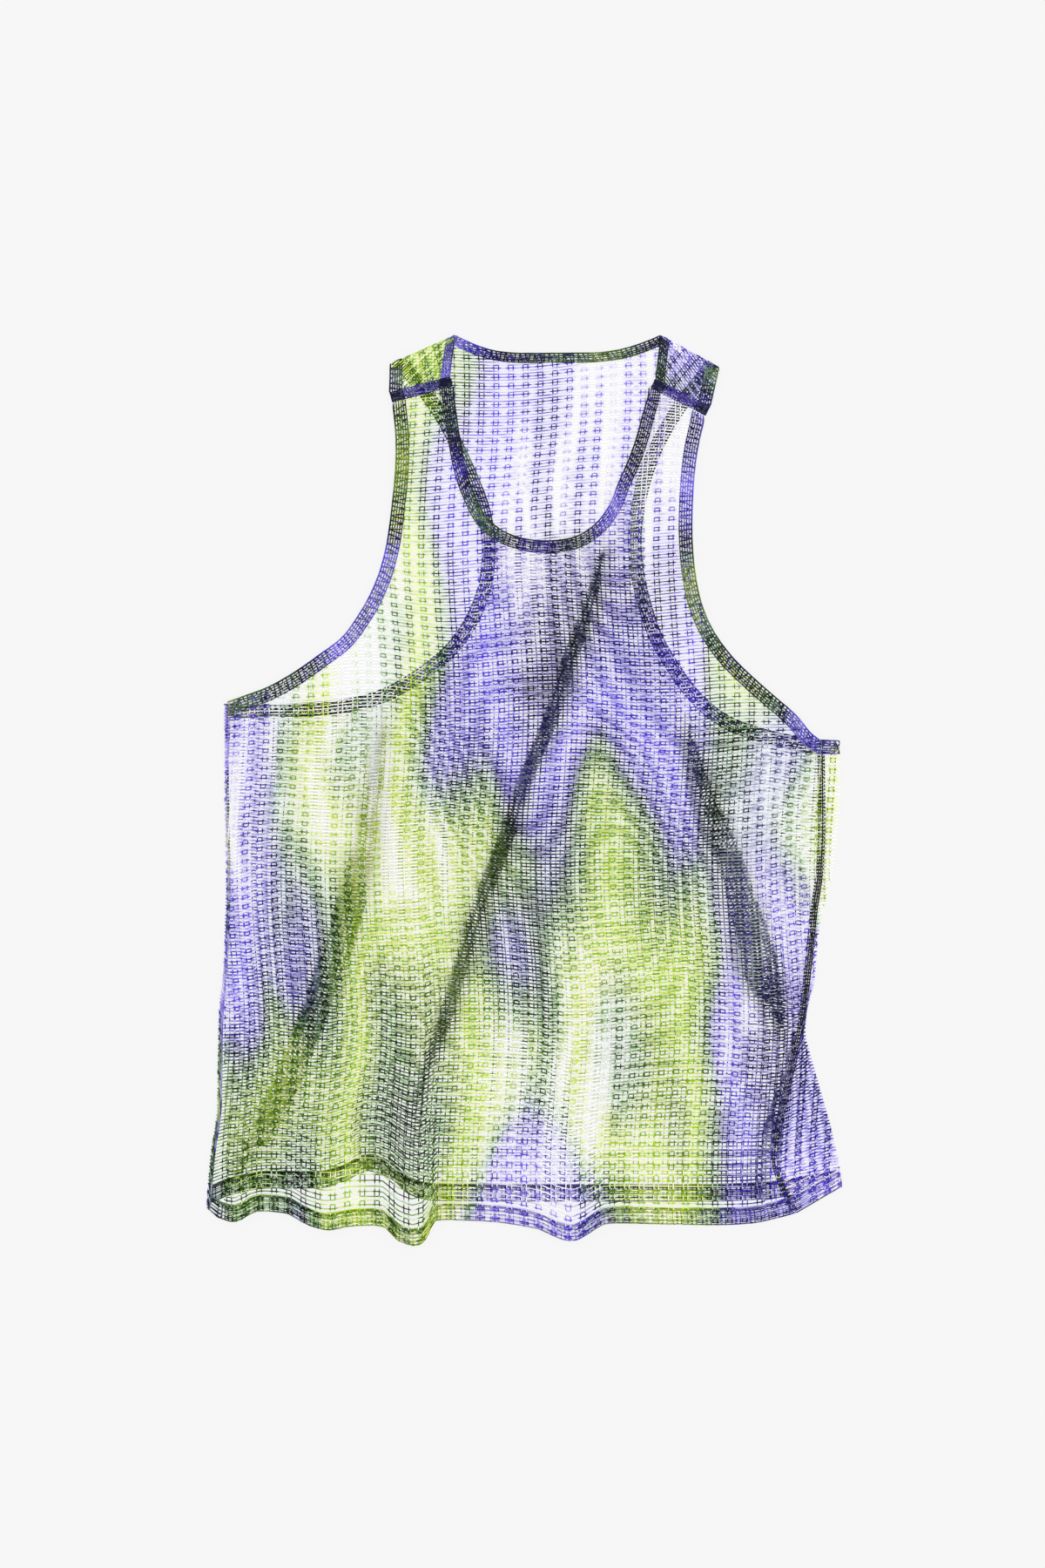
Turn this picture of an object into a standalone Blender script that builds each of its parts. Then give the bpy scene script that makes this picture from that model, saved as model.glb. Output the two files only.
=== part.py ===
"""A racerback running singlet in an even ladder-mesh knit, laid flat on its back with the front up.

The neck points to +Y, the underside lies on Z = 0, and left and right are as seen from above.
Every piece is a sheet of cloth: rows of points from the left edge to the right, given a wall by
Solidify. A row is walked along the cloth, so a fold is a turn of its direction there and back.
Lengths are in millimetres until a mesh is made, and angles in degrees.
"""

import math

import bpy
import numpy as np

MM = 0.001  # scene units in a millimetre

# Walls and levels
PANEL_WALL = 1.0
BAND_WALL = 1.4  # two plies
SEAM_GAP = 0.3
HEM_GAP = 0.5
FRONT_LEVEL = 3.1  # middle of the front's wall where it lies flat on the back
PANEL_FLOOR = PANEL_WALL / 2
BAND_FLOOR = BAND_WALL / 2

# Widths of the doubled edges
NECK_BAND = 10.0
BACK_NECK_BAND = 8.0
ARMHOLE_BAND = 11.0
HEM_BAND = 13.0
SHOULDER_SEAM = 9.0

# Folds
FRONT_FOLD_RADIUS = 1.5
BACK_FOLD_RADIUS = 0.9
FOLD_STEPS = 4  # segments in each of a fold's two turns
RELAX = 45.0  # distance over which a fold's height settles back
LIFT_REACH = 16.0  # how far beyond the ends of the back's fold the front is still lifted
SEAM_TUCK = 1.0  # how far the back comes over at an edge before the side seam

# The garment's outline, as points (x, y)
LEFT_SIDE = (
    (-241.4, 70), (-241.4, 14), (-240, -80), (-241.4, -126), (-246, -191), (-247, -253),
    (-252.5, -295), (-255.8, -334), (-257, -350),
)
RIGHT_SIDE = (
    (252.3, 40), (253, 4), (246.7, -52), (236.2, -99), (232.7, -136), (225.5, -196), (228.5, -209),
    (239, -246), (247.4, -277), (255, -318), (257, -345),
)
SIDE_SEAM = (
    (239, 40), (239.7, -24), (238.3, -62), (233.5, -97), (229, -140), (222, -197), (217.5, -215),
    (210, -247), (204.5, -275), (202.5, -297), (205.5, -311), (211.5, -325), (217.5, -338),
    (221, -350),
)
LEFT_ARMHOLE = (
    (-241.4, 70), (-225.7, 75.6), (-206.8, 82.6), (-187.9, 93), (-165.5, 108.5), (-146.6, 123),
    (-134, 140), (-124.2, 157), (-116.5, 176), (-110.9, 198), (-107.4, 223), (-103.6, 266),
    (-103.9, 288), (-106.4, 311),
)
RIGHT_ARMHOLE = (
    (239, 40), (232.7, 43.4), (219.4, 59), (200.5, 75.6), (181.6, 92.4), (166.9, 107), (150, 131),
    (141.8, 151), (136.8, 176), (134.8, 198), (134.8, 228), (139.6, 277), (145.2, 300.5),
)
NECKLINE = (
    (-57.7, 323.8), (-54.9, 303), (-52.1, 284), (-47.2, 258), (-39.5, 236), (-30.4, 219),
    (-19.2, 209.3), (-4.5, 203), (12.2, 200.5), (28, 201), (43, 204.5), (56.3, 213.5), (67.5, 228),
    (75.2, 247), (83.6, 266), (89.9, 284), (95.5, 305), (101.1, 322.5),
)
FRONT_HEM = (
    (-257, -333), (-247, -343), (-232, -346), (-214.5, -338), (-192.8, -339.5), (-175, -348.5),
    (-157, -353), (-140, -350), (-116, -349.5), (-100, -362), (-87, -365.5), (-78, -358),
    (-72, -345), (-30, -346.5), (9, -352), (37, -362), (68, -347.5), (110, -348.6), (152, -349.3),
    (180, -348), (203, -343.7), (218, -339.5),
)
LEFT_RACER = (
    (-241.4, 69), (-205, 68.8), (-169, 70.5), (-139, 74), (-115, 81), (-94, 92.4), (-75, 105.7),
    (-60.8, 119), (-49.8, 134.5), (-42, 150), (-36.5, 168), (-34.3, 188), (-35.5, 210), (-41, 232),
    (-50, 254), (-60, 276), (-71, 297), (-86, 319), (-107.5, 342),
)
RIGHT_RACER = (
    (252.3, 40), (236, 40.5), (210, 45), (186, 51), (160, 62), (139.5, 80), (122.8, 103),
    (110, 125.7), (101, 152.4), (95.5, 178), (93.8, 203), (96.3, 226), (102.5, 252), (115.5, 283),
    (134, 312), (156, 339.2),
)
BACK_NECKLINE = (
    (-55.8, 365.4), (-39.5, 358), (-27, 353.8), (-11.5, 351.6), (12, 351.2), (36, 351.4),
    (62, 352), (77, 354.2), (92, 358.6), (109.3, 365.4),
)
BACK_HEM = (
    (-258, -334), (-235, -325), (-206, -320), (-166, -320), (-145, -314.5), (-126, -306),
    (-108, -312), (-91, -326), (-72, -330), (30, -330.5), (149, -330.5), (200, -328), (235, -322),
    (258, -318),
)
LEFT_SHOULDER = ((-108.1, 342.3), (-55.8, 365.4))  # outer point and neck point
RIGHT_SHOULDER = ((156.4, 339.5), (109.3, 365.4))
LEFT_SHOULDER_SEAM = ((-106.4, 310.8), (-57.7, 323.8))  # lower edge of the doubled seam
RIGHT_SHOULDER_SEAM = ((145.2, 300.3), (101.1, 322.5))

# Folds: level y, x of the edge that shows, width of the overlap, and turn. A turn over 0 lays
# what is right of the edge on top, and one under 0 what is left of it.
LEFT_FOLD = (
    (230, -80, 3.3, 0),
    (140, -98, 3.3, 0),
    (83, -113, 3.3, 0),
    (60, -117, 4, 110),
    (29, -122, 10, 180),
    (-35, -136, 18, 180),
    (-91, -152, 24, 180),
    (-142, -169, 25, 180),
    (-206, -191.4, 24, 180),
    (-248, -209, 24, 180),
    (-283, -223, 20, 180),
    (-307, -236, 12, 180),
    (-322, -244, 5, 120),
    (-336, -245, 3.3, 60),
    (-355, -245, 3.3, 40),
)
MAIN_FOLD = (
    (212, 62, 3.3, 0),
    (198, 61, 3.3, 70),
    (184, 58, 6, 180),
    (139, 43, 10.5, 180),
    (104, 29.7, 12, 180),
    (50, 12.2, 12.5, 180),
    (5, -5.2, 12.5, 180),
    (-50, -22.8, 12.5, 180),
    (-101, -40.9, 12.5, 180),
    (-154, -57, 12, 180),
    (-212, -73.8, 11, 180),
    (-250, -86, 8, 180),
    (-270, -92.5, 5, 150),
    (-286, -98, 3.3, 60),
    (-300, -102, 3.3, 0),
    (-360, -106, 3.3, 0),
)
SIDE_FOLD = (
    (60, 185, 3.3, 0),
    (-100, 206, 3.3, 0),
    (-190, 205, 3.3, 0),
    (-200, 207.5, 3.3, -40),
    (-208, 213, 4.5, -110),
    (-216, 219, 7, -160),
    (-226, 218, 7, -180),
    (-264, 210.3, 12, -180),
    (-298, 199.5, 13, -180),
    (-318, 193, 8, -180),
    (-330, 191, 4, -110),
    (-340, 190, 3.3, -30),
    (-355, 190, 3.3, 0),
)
BACK_FOLD = (
    (68, 126.5, 2.1, 0),
    (56, 131.5, 2.1, -110),
    (42, 136, 7, -180),
    (29, 141, 9.5, -180),
    (-15, 158, 16, -180),
    (-43, 171, 22, -180),
    (-80, 184, 25, -180),
    (-114, 196, 29, -180),
    (-136, 203, 31, -180),
    (-160, 208, 26, -180),
    (-184, 209, 10, -180),
    (-198, 206, 2.1, -90),
    (-214, 200, 2.1, 0),
    (-345, 178, 2.1, 0),
)

# Soft ridges of the front: x at the top, middle and foot, their levels y, height and half widths
RIDGE_COLUMNS = ("x_top", "y_top", "x_mid", "y_mid", "x_foot", "y_foot", "height", "left_half", "right_half")
RIDGES = (
    (-57, 185, -66, 40, -107, -118, 2.6, 16, 16),
    (-46, -238, -68, -300, -83, -375, 9.0, 32, 9),
    (90, -110, 68, -205, 37, -375, 8.0, 30, 30),
    (-178, -230, -166, -300, -157, -365, 5.0, 22, 22),
    (-231, -300, -231, -325, -231, -360, 3.5, 14, 14),
    (150, 60, 128, -60, 118, -190, 3.0, 24, 24),
    (-200, 20, -205, -60, -212, -150, 2.4, 18, 18),
    (12, 160, -12, 60, -34, -40, 2.2, 15, 15),
)

# Shares of a ridge's length over which it rises at the top and dies out at the foot
RIDGE_FADES = (0.35, 0.12)
EDGE_FADE = 12.0  # distance from the side edges over which the front comes down flat

# How the front is lifted by the back's fold under it: the reach up the slope, past the edge, and the way down
LIFT_BEFORE, LIFT_PAST, LIFT_DOWN = 12.0, 4.0, 26.0

# Where the search for a row's ends starts
LEFT_GUESS, RIGHT_GUESS = -240.0, 240.0

# Levels between which the body's rows bend from the hem's line to the armholes' line
ROW_LOW, ROW_HIGH = -333.0, 85.0
UNDERARM_Y = 60.0
NECK_TURN_Y = 226.0  # the neckline climbs steeply above this level

# Columns of cells in the rows, from the left edge to the right
FRONT_RUNS = {"to_armhole": 4, "to_left_fold": 3, "to_neck": 3, "to_main_fold": 6, "to_neck_right": 5,
              "to_armhole_right": 6, "to_side_fold": 3, "to_seam": 2}
BACK_RUNS = {"to_armhole": 4, "to_shoulder": 3, "neck": 7, "from_shoulder": 3, "to_fold": 1, "to_edge": 3}
EDGE_STEPS = 4  # segments round the garment's side edges and over the shoulders
WRAP_STEPS = 3
BODY_ROWS = 27
CHEST_ROWS = 6
STRAP_ROWS = 7
RACER_ROWS = 14
FLAP_ROWS = 3
BAND_ROWS = 2
BAND_STEP = 2.5  # the least way between a band's points
LEAST_STEP = 0.5  # how far each of the neck's points lies right of all before it
SEAM_STEPS = 4

# Shares of the way between folds at which those columns start at the hem
FRONT_SPREAD = {"armhole_left": 0.62, "neck_left": 0.42, "neck_right": 0.26, "armhole_right": 0.72}

# Corners of the grids, where columns that end at an opening meet those that go on
FRONT_CORNER_Y = (112.0, 104.0)  # left and right, on the armholes
NECK_CORNER_X = (-45.0, 72.0)
RACER_CORNER_Y = (84.0, 82.0)
RACER_STRAP = 0.25  # share of the racerback's width that goes into each strap
RACER_SPREAD = (
    ("corner_left", 0.34),
    ("shoulder_left", 0.48),
    ("shoulder_right", 0.82),
    ("corner_right", 0.93),
)
NECK_TRIM = 4  # points left off at each end of the back neck's path, beside the straps' corners
RACER_LOW = 30  # points of a racerback armhole's path that lie on its lower, level half

# Colours (red, green, blue) and finish
VIOLET = (0.23, 0.19, 0.50)
LIME = (0.42, 0.60, 0.16)
LILAC = (0.55, 0.50, 0.80)
INK = (0.05, 0.07, 0.06)
KNIT_ROUGHNESS = 0.85
BAND_COLOURS = {
    "back_neck_band": LIME,
    "right_front_armhole_band": LILAC,
    "right_back_armhole_band": LILAC,
    "left_shoulder_seam": INK,
    "right_shoulder_seam": INK,
    "back_hem": LIME,
}


# --- Curves and rows -------------------------------------------------------------------------


def level_slopes(places, values):
    """Slopes for a curve that never swings past its table's values."""
    secants = np.diff(values, axis=0) / np.diff(places)[:, None]
    low, high = secants[:-1], secants[1:]
    same = low * high > 0
    inner = np.where(same, 2 * low * high / np.where(same, low + high, 1), 0)
    return np.concatenate([secants[:1], inner, secants[-1:]])


def smooth(table, slopes_of=level_slopes):
    """A smooth function through the rows (place, value, ...), which run up or down in place."""
    rows = np.array(sorted(table), float)
    places, values = rows[:, 0], rows[:, 1:]
    slopes = slopes_of(places, values)

    def at(place):
        place = np.clip(np.asarray(place, float), places[0], places[-1])
        i = np.clip(np.searchsorted(places, place) - 1, 0, len(places) - 2)
        step = places[i + 1] - places[i]
        t = ((place - places[i]) / step)[..., None]
        step = step[..., None]
        ends = values[i] * (2 * t**3 - 3 * t**2 + 1) + values[i + 1] * (3 * t**2 - 2 * t**3)
        turns = slopes[i] * (t**3 - 2 * t**2 + t) * step + slopes[i + 1] * (t**3 - t**2) * step
        found = ends + turns
        return found[..., 0] if values.shape[1] == 1 else found

    return at


def path(points, count=60):
    """The points of a smooth path through the given ones, evenly spaced along it."""
    points = np.array(points, float)
    along = np.concatenate([[0], np.cumsum(np.linalg.norm(np.diff(points, axis=0), axis=1))])
    at = smooth([(a, *p) for a, p in zip(along, points)], lambda a, p: np.gradient(p, a, axis=0))
    return at(np.linspace(0, along[-1], count))


def beside(points, distance):
    """The path that lies this far to the left of the given one, as it is walked."""
    ways = np.gradient(points, axis=0)
    ways /= np.linalg.norm(ways, axis=1)[:, None]
    return points + distance * np.stack([-ways[:, 1], ways[:, 0]], axis=1)


def across(points):
    """The path's y at a given x."""
    points = points[np.argsort(points[:, 0])]
    return lambda x: np.interp(x, points[:, 0], points[:, 1])


def up(points):
    """The path's x at a given y."""
    points = points[np.argsort(points[:, 1])]
    return lambda y: np.interp(y, points[:, 1], points[:, 0])


def ease(t):
    t = np.clip(t, 0, 1)
    return t * t * (3 - 2 * t)


def settle(guess, rule, rounds=6):
    """The value that a rule gives back, as for an x read at the y that this x has on a row."""
    for _ in range(rounds):
        guess = rule(guess)
    return guess


def run(start, end, count):
    """A flat stretch of a row: count steps of x, without its first point, and no rise."""
    steps = np.linspace(start, end, count + 1)[1:]
    return [(x, 0.0) for x in steps]


def fold_start(edge, overlap, turn, radius):
    """Where a row begins to turn, for a fold whose visible edge is at this x."""
    opened = (1 - math.cos(math.radians(turn))) / 2
    if turn > 0:
        return edge + (overlap - radius) * opened
    return edge - radius * opened


def fold(start, overlap, turn, radius):
    """The points (x, rise) of a fold: a turn, a straight stretch and the turn back."""
    angle = math.radians(turn)
    arc = math.pi * radius
    middle = overlap - 2 * radius
    points, x, rise = [], start, 0.0
    stretches = [(arc / FOLD_STEPS, (i + 0.5) / FOLD_STEPS) for i in range(FOLD_STEPS)]
    way = [*stretches, (middle, 1.0), *reversed(stretches)]
    for length, share in way:
        x += length * math.cos(angle * share)
        rise += length * math.sin(angle * share)
        points.append((x, rise))
    return points


def fold_at(table_at, y):
    """A fold's edge, overlap and turn at level y."""
    edge, overlap, turn = table_at(y)
    return float(edge), float(overlap), float(turn)


# --- The outline, read as paths --------------------------------------------------------------

left_side = smooth([(y, x) for x, y in LEFT_SIDE])
right_side = smooth([(y, x) for x, y in RIGHT_SIDE])
side_seam = smooth([(y, x) for x, y in SIDE_SEAM])
left_armhole = path(LEFT_ARMHOLE)
right_armhole = path(RIGHT_ARMHOLE)
neckline = path(NECKLINE)
left_racer = path(LEFT_RACER)
right_racer = path(RIGHT_RACER)
back_neckline = path(BACK_NECKLINE)
front_hem = smooth(FRONT_HEM)
back_hem = smooth(BACK_HEM)
left_fold, main_fold, side_fold, back_fold = (smooth(t) for t in (LEFT_FOLD, MAIN_FOLD, SIDE_FOLD, BACK_FOLD))

# The panels' own edges, inside the bands and a seam gap away from them
inner_left_armhole = beside(left_armhole, -ARMHOLE_BAND - SEAM_GAP)
inner_right_armhole = beside(right_armhole, ARMHOLE_BAND + SEAM_GAP)
inner_neckline = beside(neckline, -NECK_BAND - SEAM_GAP)
inner_left_racer = beside(left_racer, -ARMHOLE_BAND - SEAM_GAP)
inner_right_racer = beside(right_racer, ARMHOLE_BAND + SEAM_GAP)
inner_back_neckline = beside(back_neckline, -BACK_NECK_BAND - SEAM_GAP)


def edge_radius(floor):
    """Radius of the turn that brings the back up to the front's level."""
    return (FRONT_LEVEL - floor) / 2


def front_left(y):
    return left_side(y) + edge_radius(PANEL_FLOOR) + SEAM_TUCK + SEAM_GAP


def front_right(y):
    return side_seam(y) - SEAM_GAP / 2


# --- Heights ---------------------------------------------------------------------------------


def fold_rise(overlap, turn, radius):
    """How much higher a row leaves a fold than it came to it."""
    angle = np.radians(turn)
    arc = math.pi * radius / FOLD_STEPS
    turned = sum(np.sin(angle * (i + 0.5) / FOLD_STEPS) for i in range(FOLD_STEPS))
    return 2 * arc * turned + (overlap - 2 * radius) * np.sin(angle)


def settled(points, edge, overlap, turn, radius):
    """The height given back beside a fold, so that both its sides come down to the cloth's level."""
    rise = fold_rise(overlap, turn, radius)
    x = points[:, 0]
    if turn > 0:
        return -rise * ease((x - edge - overlap) / RELAX)
    return -rise * ease((x - edge + overlap) / RELAX + 1)


def over_back_fold(x, y):
    """How much the front is lifted by the fold of the back under it, and a little beyond its ends."""
    edge, overlap, _ = np.moveaxis(back_fold(y), -1, 0)
    near = (np.moveaxis(back_fold(y + reach), -1, 0) for reach in (-LIFT_REACH, 0, LIFT_REACH))
    height = np.max([-fold_rise(*shape[1:], BACK_FOLD_RADIUS) for shape in near], axis=0)
    before = ease((x - edge + overlap + LIFT_BEFORE) / RELAX + 1)
    return height * before * (1 - ease((x - edge - LIFT_PAST) / LIFT_DOWN))


def ridge_height(x, y):
    total = np.zeros_like(x)
    for row in RIDGES:
        ridge = dict(zip(RIDGE_COLUMNS, row))
        middle = smooth([(ridge["y_" + at], ridge["x_" + at]) for at in ("top", "mid", "foot")])(y)
        length = ridge["y_top"] - ridge["y_foot"]
        rising, dying = (share * length for share in RIDGE_FADES)
        faded = ease((ridge["y_top"] - y) / rising) * ease((y - ridge["y_foot"]) / dying)
        half = np.where(x < middle, ridge["left_half"], ridge["right_half"])
        total += ridge["height"] * faded * np.exp(-(((x - middle) / half) ** 2))
    return total


def front_height(x, y):
    """Level of the middle of the front's wall, before the row's own folds."""
    inside = ease((x - front_left(y)) / EDGE_FADE) * ease((front_right(y) - x) / EDGE_FADE)
    return FRONT_LEVEL + (over_back_fold(x, y) + ridge_height(x, y)) * np.where(y > UNDERARM_Y, 1, inside)


# --- The front -------------------------------------------------------------------------------


def front_corners():
    """x of the corners where the chest's rows part from the armholes' ends of the body."""
    left_y, right_y = FRONT_CORNER_Y
    return up(inner_left_armhole)(left_y), up(inner_right_armhole)(right_y)


def front_top(x):
    """y of the body's highest row: along both armholes, and straight across between the corners."""
    left_x, right_x = front_corners()
    between = np.interp(x, (left_x, right_x), FRONT_CORNER_Y)
    beyond = np.where(x <= left_x, across(inner_left_armhole)(x), across(inner_right_armhole)(x))
    return np.where((x > left_x) & (x < right_x), between, beyond)


def body_level(bottom, top, share):
    """A row's y as a function of x. Its ends bend like the rows at the hem and the armholes."""
    middle = ROW_LOW + (ROW_HIGH - ROW_LOW) * share
    return lambda x: middle + (bottom(x) - ROW_LOW) * (1 - share) ** 3 + (top(x) - ROW_HIGH) * share**3


def front_row(level, left_x, right_x, anchors, runs, folds):
    """One row of the front: its points (x, y, z). Anchors and folds are met in order of runs."""
    points = [(left_x, 0.0)]
    rises = [0.0]
    found = []
    for stop, count in runs:
        base = rises[-1]
        if stop in folds:
            table = folds[stop]
            edge = settle(table(level(0.0))[0], lambda x, table=table: table(level(x))[0])
            shape = fold_at(table, level(edge))
            found.append(shape)
            start = fold_start(*shape, FRONT_FOLD_RADIUS)
            points += run(points[-1][0], start, count)
            rises += [base] * count
            turned = fold(start, *shape[1:], FRONT_FOLD_RADIUS)
            points += turned
            rises += [base + rise for _, rise in turned]
        else:
            end = right_x if stop == "end" else anchors[stop]
            points += run(points[-1][0], end, count)
            rises += [base] * count
    points = np.array(points)
    y = level(points[:, 0])
    z = front_height(points[:, 0], y) + np.array(rises)
    for shape in found:
        z += settled(points, *shape, FRONT_FOLD_RADIUS)
    return np.column_stack([points[:, 0], y, z])


FRONT_FOLDS = {"left_fold": left_fold, "main_fold": main_fold, "side_fold": side_fold}
BODY_STOPS = (
    ("armhole_left", FRONT_RUNS["to_armhole"]),
    ("left_fold", FRONT_RUNS["to_left_fold"]),
    ("neck_left", FRONT_RUNS["to_neck"]),
    ("main_fold", FRONT_RUNS["to_main_fold"]),
    ("neck_right", FRONT_RUNS["to_neck_right"]),
    ("armhole_right", FRONT_RUNS["to_armhole_right"]),
    ("side_fold", FRONT_RUNS["to_side_fold"]),
    ("end", FRONT_RUNS["to_seam"]),
)


def front_ends(level):
    left_x = settle(LEFT_GUESS, lambda x: front_left(level(x)))
    right_x = settle(RIGHT_GUESS, lambda x: front_right(level(x)))
    return float(left_x), float(right_x)


def body_anchors(level, left_x, share):
    """Where the columns that end at the armholes' and the neck's corners cross a body row."""
    at = {name: float(settle(0.0, lambda x, t=table: t(level(x))[0])) for name, table in FRONT_FOLDS.items()}
    corner_left, corner_right = front_corners()
    spans = {
        "armhole_left": (left_x, at["left_fold"]),
        "neck_left": (at["left_fold"], at["main_fold"]),
        "neck_right": (at["main_fold"], at["side_fold"]),
        "armhole_right": (at["main_fold"], at["side_fold"]),
    }
    anchors = {name: start + FRONT_SPREAD[name] * (end - start) for name, (start, end) in spans.items()}
    for name, corner in (("armhole_left", corner_left), ("armhole_right", corner_right)):
        anchors[name] += (corner - anchors[name]) * share**3
    return anchors


def body_row(level, share):
    left_x, right_x = front_ends(level)
    return front_row(level, left_x, right_x, body_anchors(level, left_x, share), BODY_STOPS, FRONT_FOLDS)


def neck_row(x):
    """y of the chest's highest row, which dips along the neckline between the neck's corners."""
    dip = across(inner_neckline[inner_neckline[:, 1] < NECK_TURN_Y])
    left, right = NECK_CORNER_X
    return dip(np.clip(x, left, right))


def chest_row(share, anchors_below):
    """A row between the armholes, from the armhole corners (share 0) up to the neck (share 1)."""
    def level(x):
        return front_top(x) * (1 - share) + neck_row(x) * share

    corners = front_corners()
    left_x = settle(corners[0], lambda x: up(inner_left_armhole)(level(x)))
    right_x = settle(corners[1], lambda x: up(inner_right_armhole)(level(x)))
    if share == 0:
        left_x, right_x = (anchors_below[name] for name in ("armhole_left", "armhole_right"))
    targets = dict(zip(("neck_left", "neck_right"), NECK_CORNER_X))
    anchors = {name: anchors_below[name] + (x - anchors_below[name]) * share for name, x in targets.items()}
    stops = (*BODY_STOPS[1:5], ("end", FRONT_RUNS["to_armhole_right"]))
    return front_row(level, float(left_x), float(right_x), anchors, stops, FRONT_FOLDS)


def strap(row, outer, inner, seam, count=STRAP_ROWS):
    """Rows of a strap, from a row at its foot to its shoulder seam. Outer and inner are its edges."""
    outer_at, inner_at = up(outer), up(inner)
    ends = row[0, :2], row[-1, :2]
    share = (row[:, 0] - ends[0][0]) / (ends[1][0] - ends[0][0])
    rows = [row]
    for step in np.linspace(0, 1, count + 1)[1:]:
        ys = [end[1] + (top[1] - end[1]) * step for end, top in zip(ends, seam)]
        xs = outer_at(ys[0]), inner_at(ys[1])
        if step == 1:
            xs = seam[0][0], seam[1][0]
        x = xs[0] + (xs[1] - xs[0]) * share
        bend = row[:, 1] - np.interp(share, (0, 1), (ends[0][1], ends[1][1]))
        y = ys[0] + (ys[1] - ys[0]) * share + bend * (1 - step)
        rows.append(np.column_stack([x, y, front_height(x, y)]))
    return np.array(rows)


def seam_ends(seam, outer_band, inner_band, gap):
    """The points on a shoulder seam's edge where the panel between the two bands ends."""
    start, end = np.array(seam, float)
    length = np.linalg.norm(end - start)
    way = (end - start) / length
    below = np.array([way[1], -way[0]]) if way[0] > 0 else np.array([-way[1], way[0]])
    return start + way * outer_band + below * gap, end - way * inner_band + below * gap


def front_level(share):
    """The front's row this far up from the hem's stitches (0) to the armholes (1)."""
    return body_level(lambda x: front_hem(x) + HEM_BAND + HEM_GAP, front_top, share)


def front_blocks():
    """The grids of the front panel: body, chest and two straps."""
    shares = np.linspace(0, 1, BODY_ROWS + 1)
    body = np.array([body_row(front_level(share), share) for share in shares])
    left_count = FRONT_RUNS["to_armhole"]
    right_count = FRONT_RUNS["to_side_fold"] + 2 * FOLD_STEPS + 1 + FRONT_RUNS["to_seam"]
    level = front_level(1.0)
    anchors = body_anchors(level, front_ends(level)[0], 1.0)
    chest = [chest_row(share, anchors) for share in np.linspace(0, 1, CHEST_ROWS + 1)]
    chest[0] = body[-1, left_count : body.shape[1] - right_count]
    chest = np.array(chest)
    neck_left = FRONT_RUNS["to_left_fold"] + 2 * FOLD_STEPS + 1 + FRONT_RUNS["to_neck"]
    left_foot = chest[-1, : neck_left + 1]
    right_foot = chest[-1, -FRONT_RUNS["to_armhole_right"] - 1 :]
    bands = ARMHOLE_BAND + SEAM_GAP, NECK_BAND + SEAM_GAP
    half = len(inner_neckline) // 2
    left_seam = seam_ends(LEFT_SHOULDER_SEAM, *bands, SEAM_GAP)
    right_seam = seam_ends(RIGHT_SHOULDER_SEAM, *bands, SEAM_GAP)
    left = strap(left_foot, inner_left_armhole, inner_neckline[:half], left_seam)
    right = strap(right_foot, inner_neckline[half:], inner_right_armhole, right_seam[::-1])
    return body, chest, left, right


# --- Bands and hems --------------------------------------------------------------------------


def sideways(points, way):
    """Steps out of a flat edge at its points: to the left of the walk, or to the right for way -1.

    They are longer where the edge bends, so that a band keeps its width."""
    steps = np.diff(points[:, :2], axis=0)
    steps /= np.linalg.norm(steps, axis=1)[:, None]
    out = way * np.column_stack([-steps[:, 1], steps[:, 0], np.zeros(len(steps))])
    before, after = np.concatenate([out[:1], out]), np.concatenate([out, out[-1:]])
    middle = before + after
    return 2 * middle / np.sum(middle * middle, axis=1)[:, None]


def onward(rows, last, before):
    """Unit steps that carry on each row past its last point."""
    steps = rows[:, last] - rows[:, before]
    return steps / np.linalg.norm(steps, axis=1)[:, None]


def spaced(points):
    """An edge's points without those that come too close together for the band beside it to bend there."""
    kept = [points[0]]
    for point in points[1:-1]:
        if min(np.linalg.norm(point - other) for other in (kept[-1], points[-1])) >= BAND_STEP:
            kept.append(point)
    return np.array([*kept, points[-1]])


def rim(points, steps, width, height_of):
    """A band beside a panel's edge, a seam gap away from it. Steps point out of each of its points."""
    rows = []
    for distance in np.linspace(SEAM_GAP, SEAM_GAP + width, BAND_ROWS + 1):
        row = points + steps * distance
        row[:, 2] = height_of(row)
        rows.append(row)
    return [np.array(rows)]


def on_front(row):
    return front_height(row[:, 0], row[:, 1])


def on_floor(row):
    """Levels of a doubled band of the back beside the panel's: it rests on the same plane."""
    return FRONT_LEVEL - (FRONT_LEVEL - row[:, 2]) * (FRONT_LEVEL - BAND_FLOOR) / (FRONT_LEVEL - PANEL_FLOOR)


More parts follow.
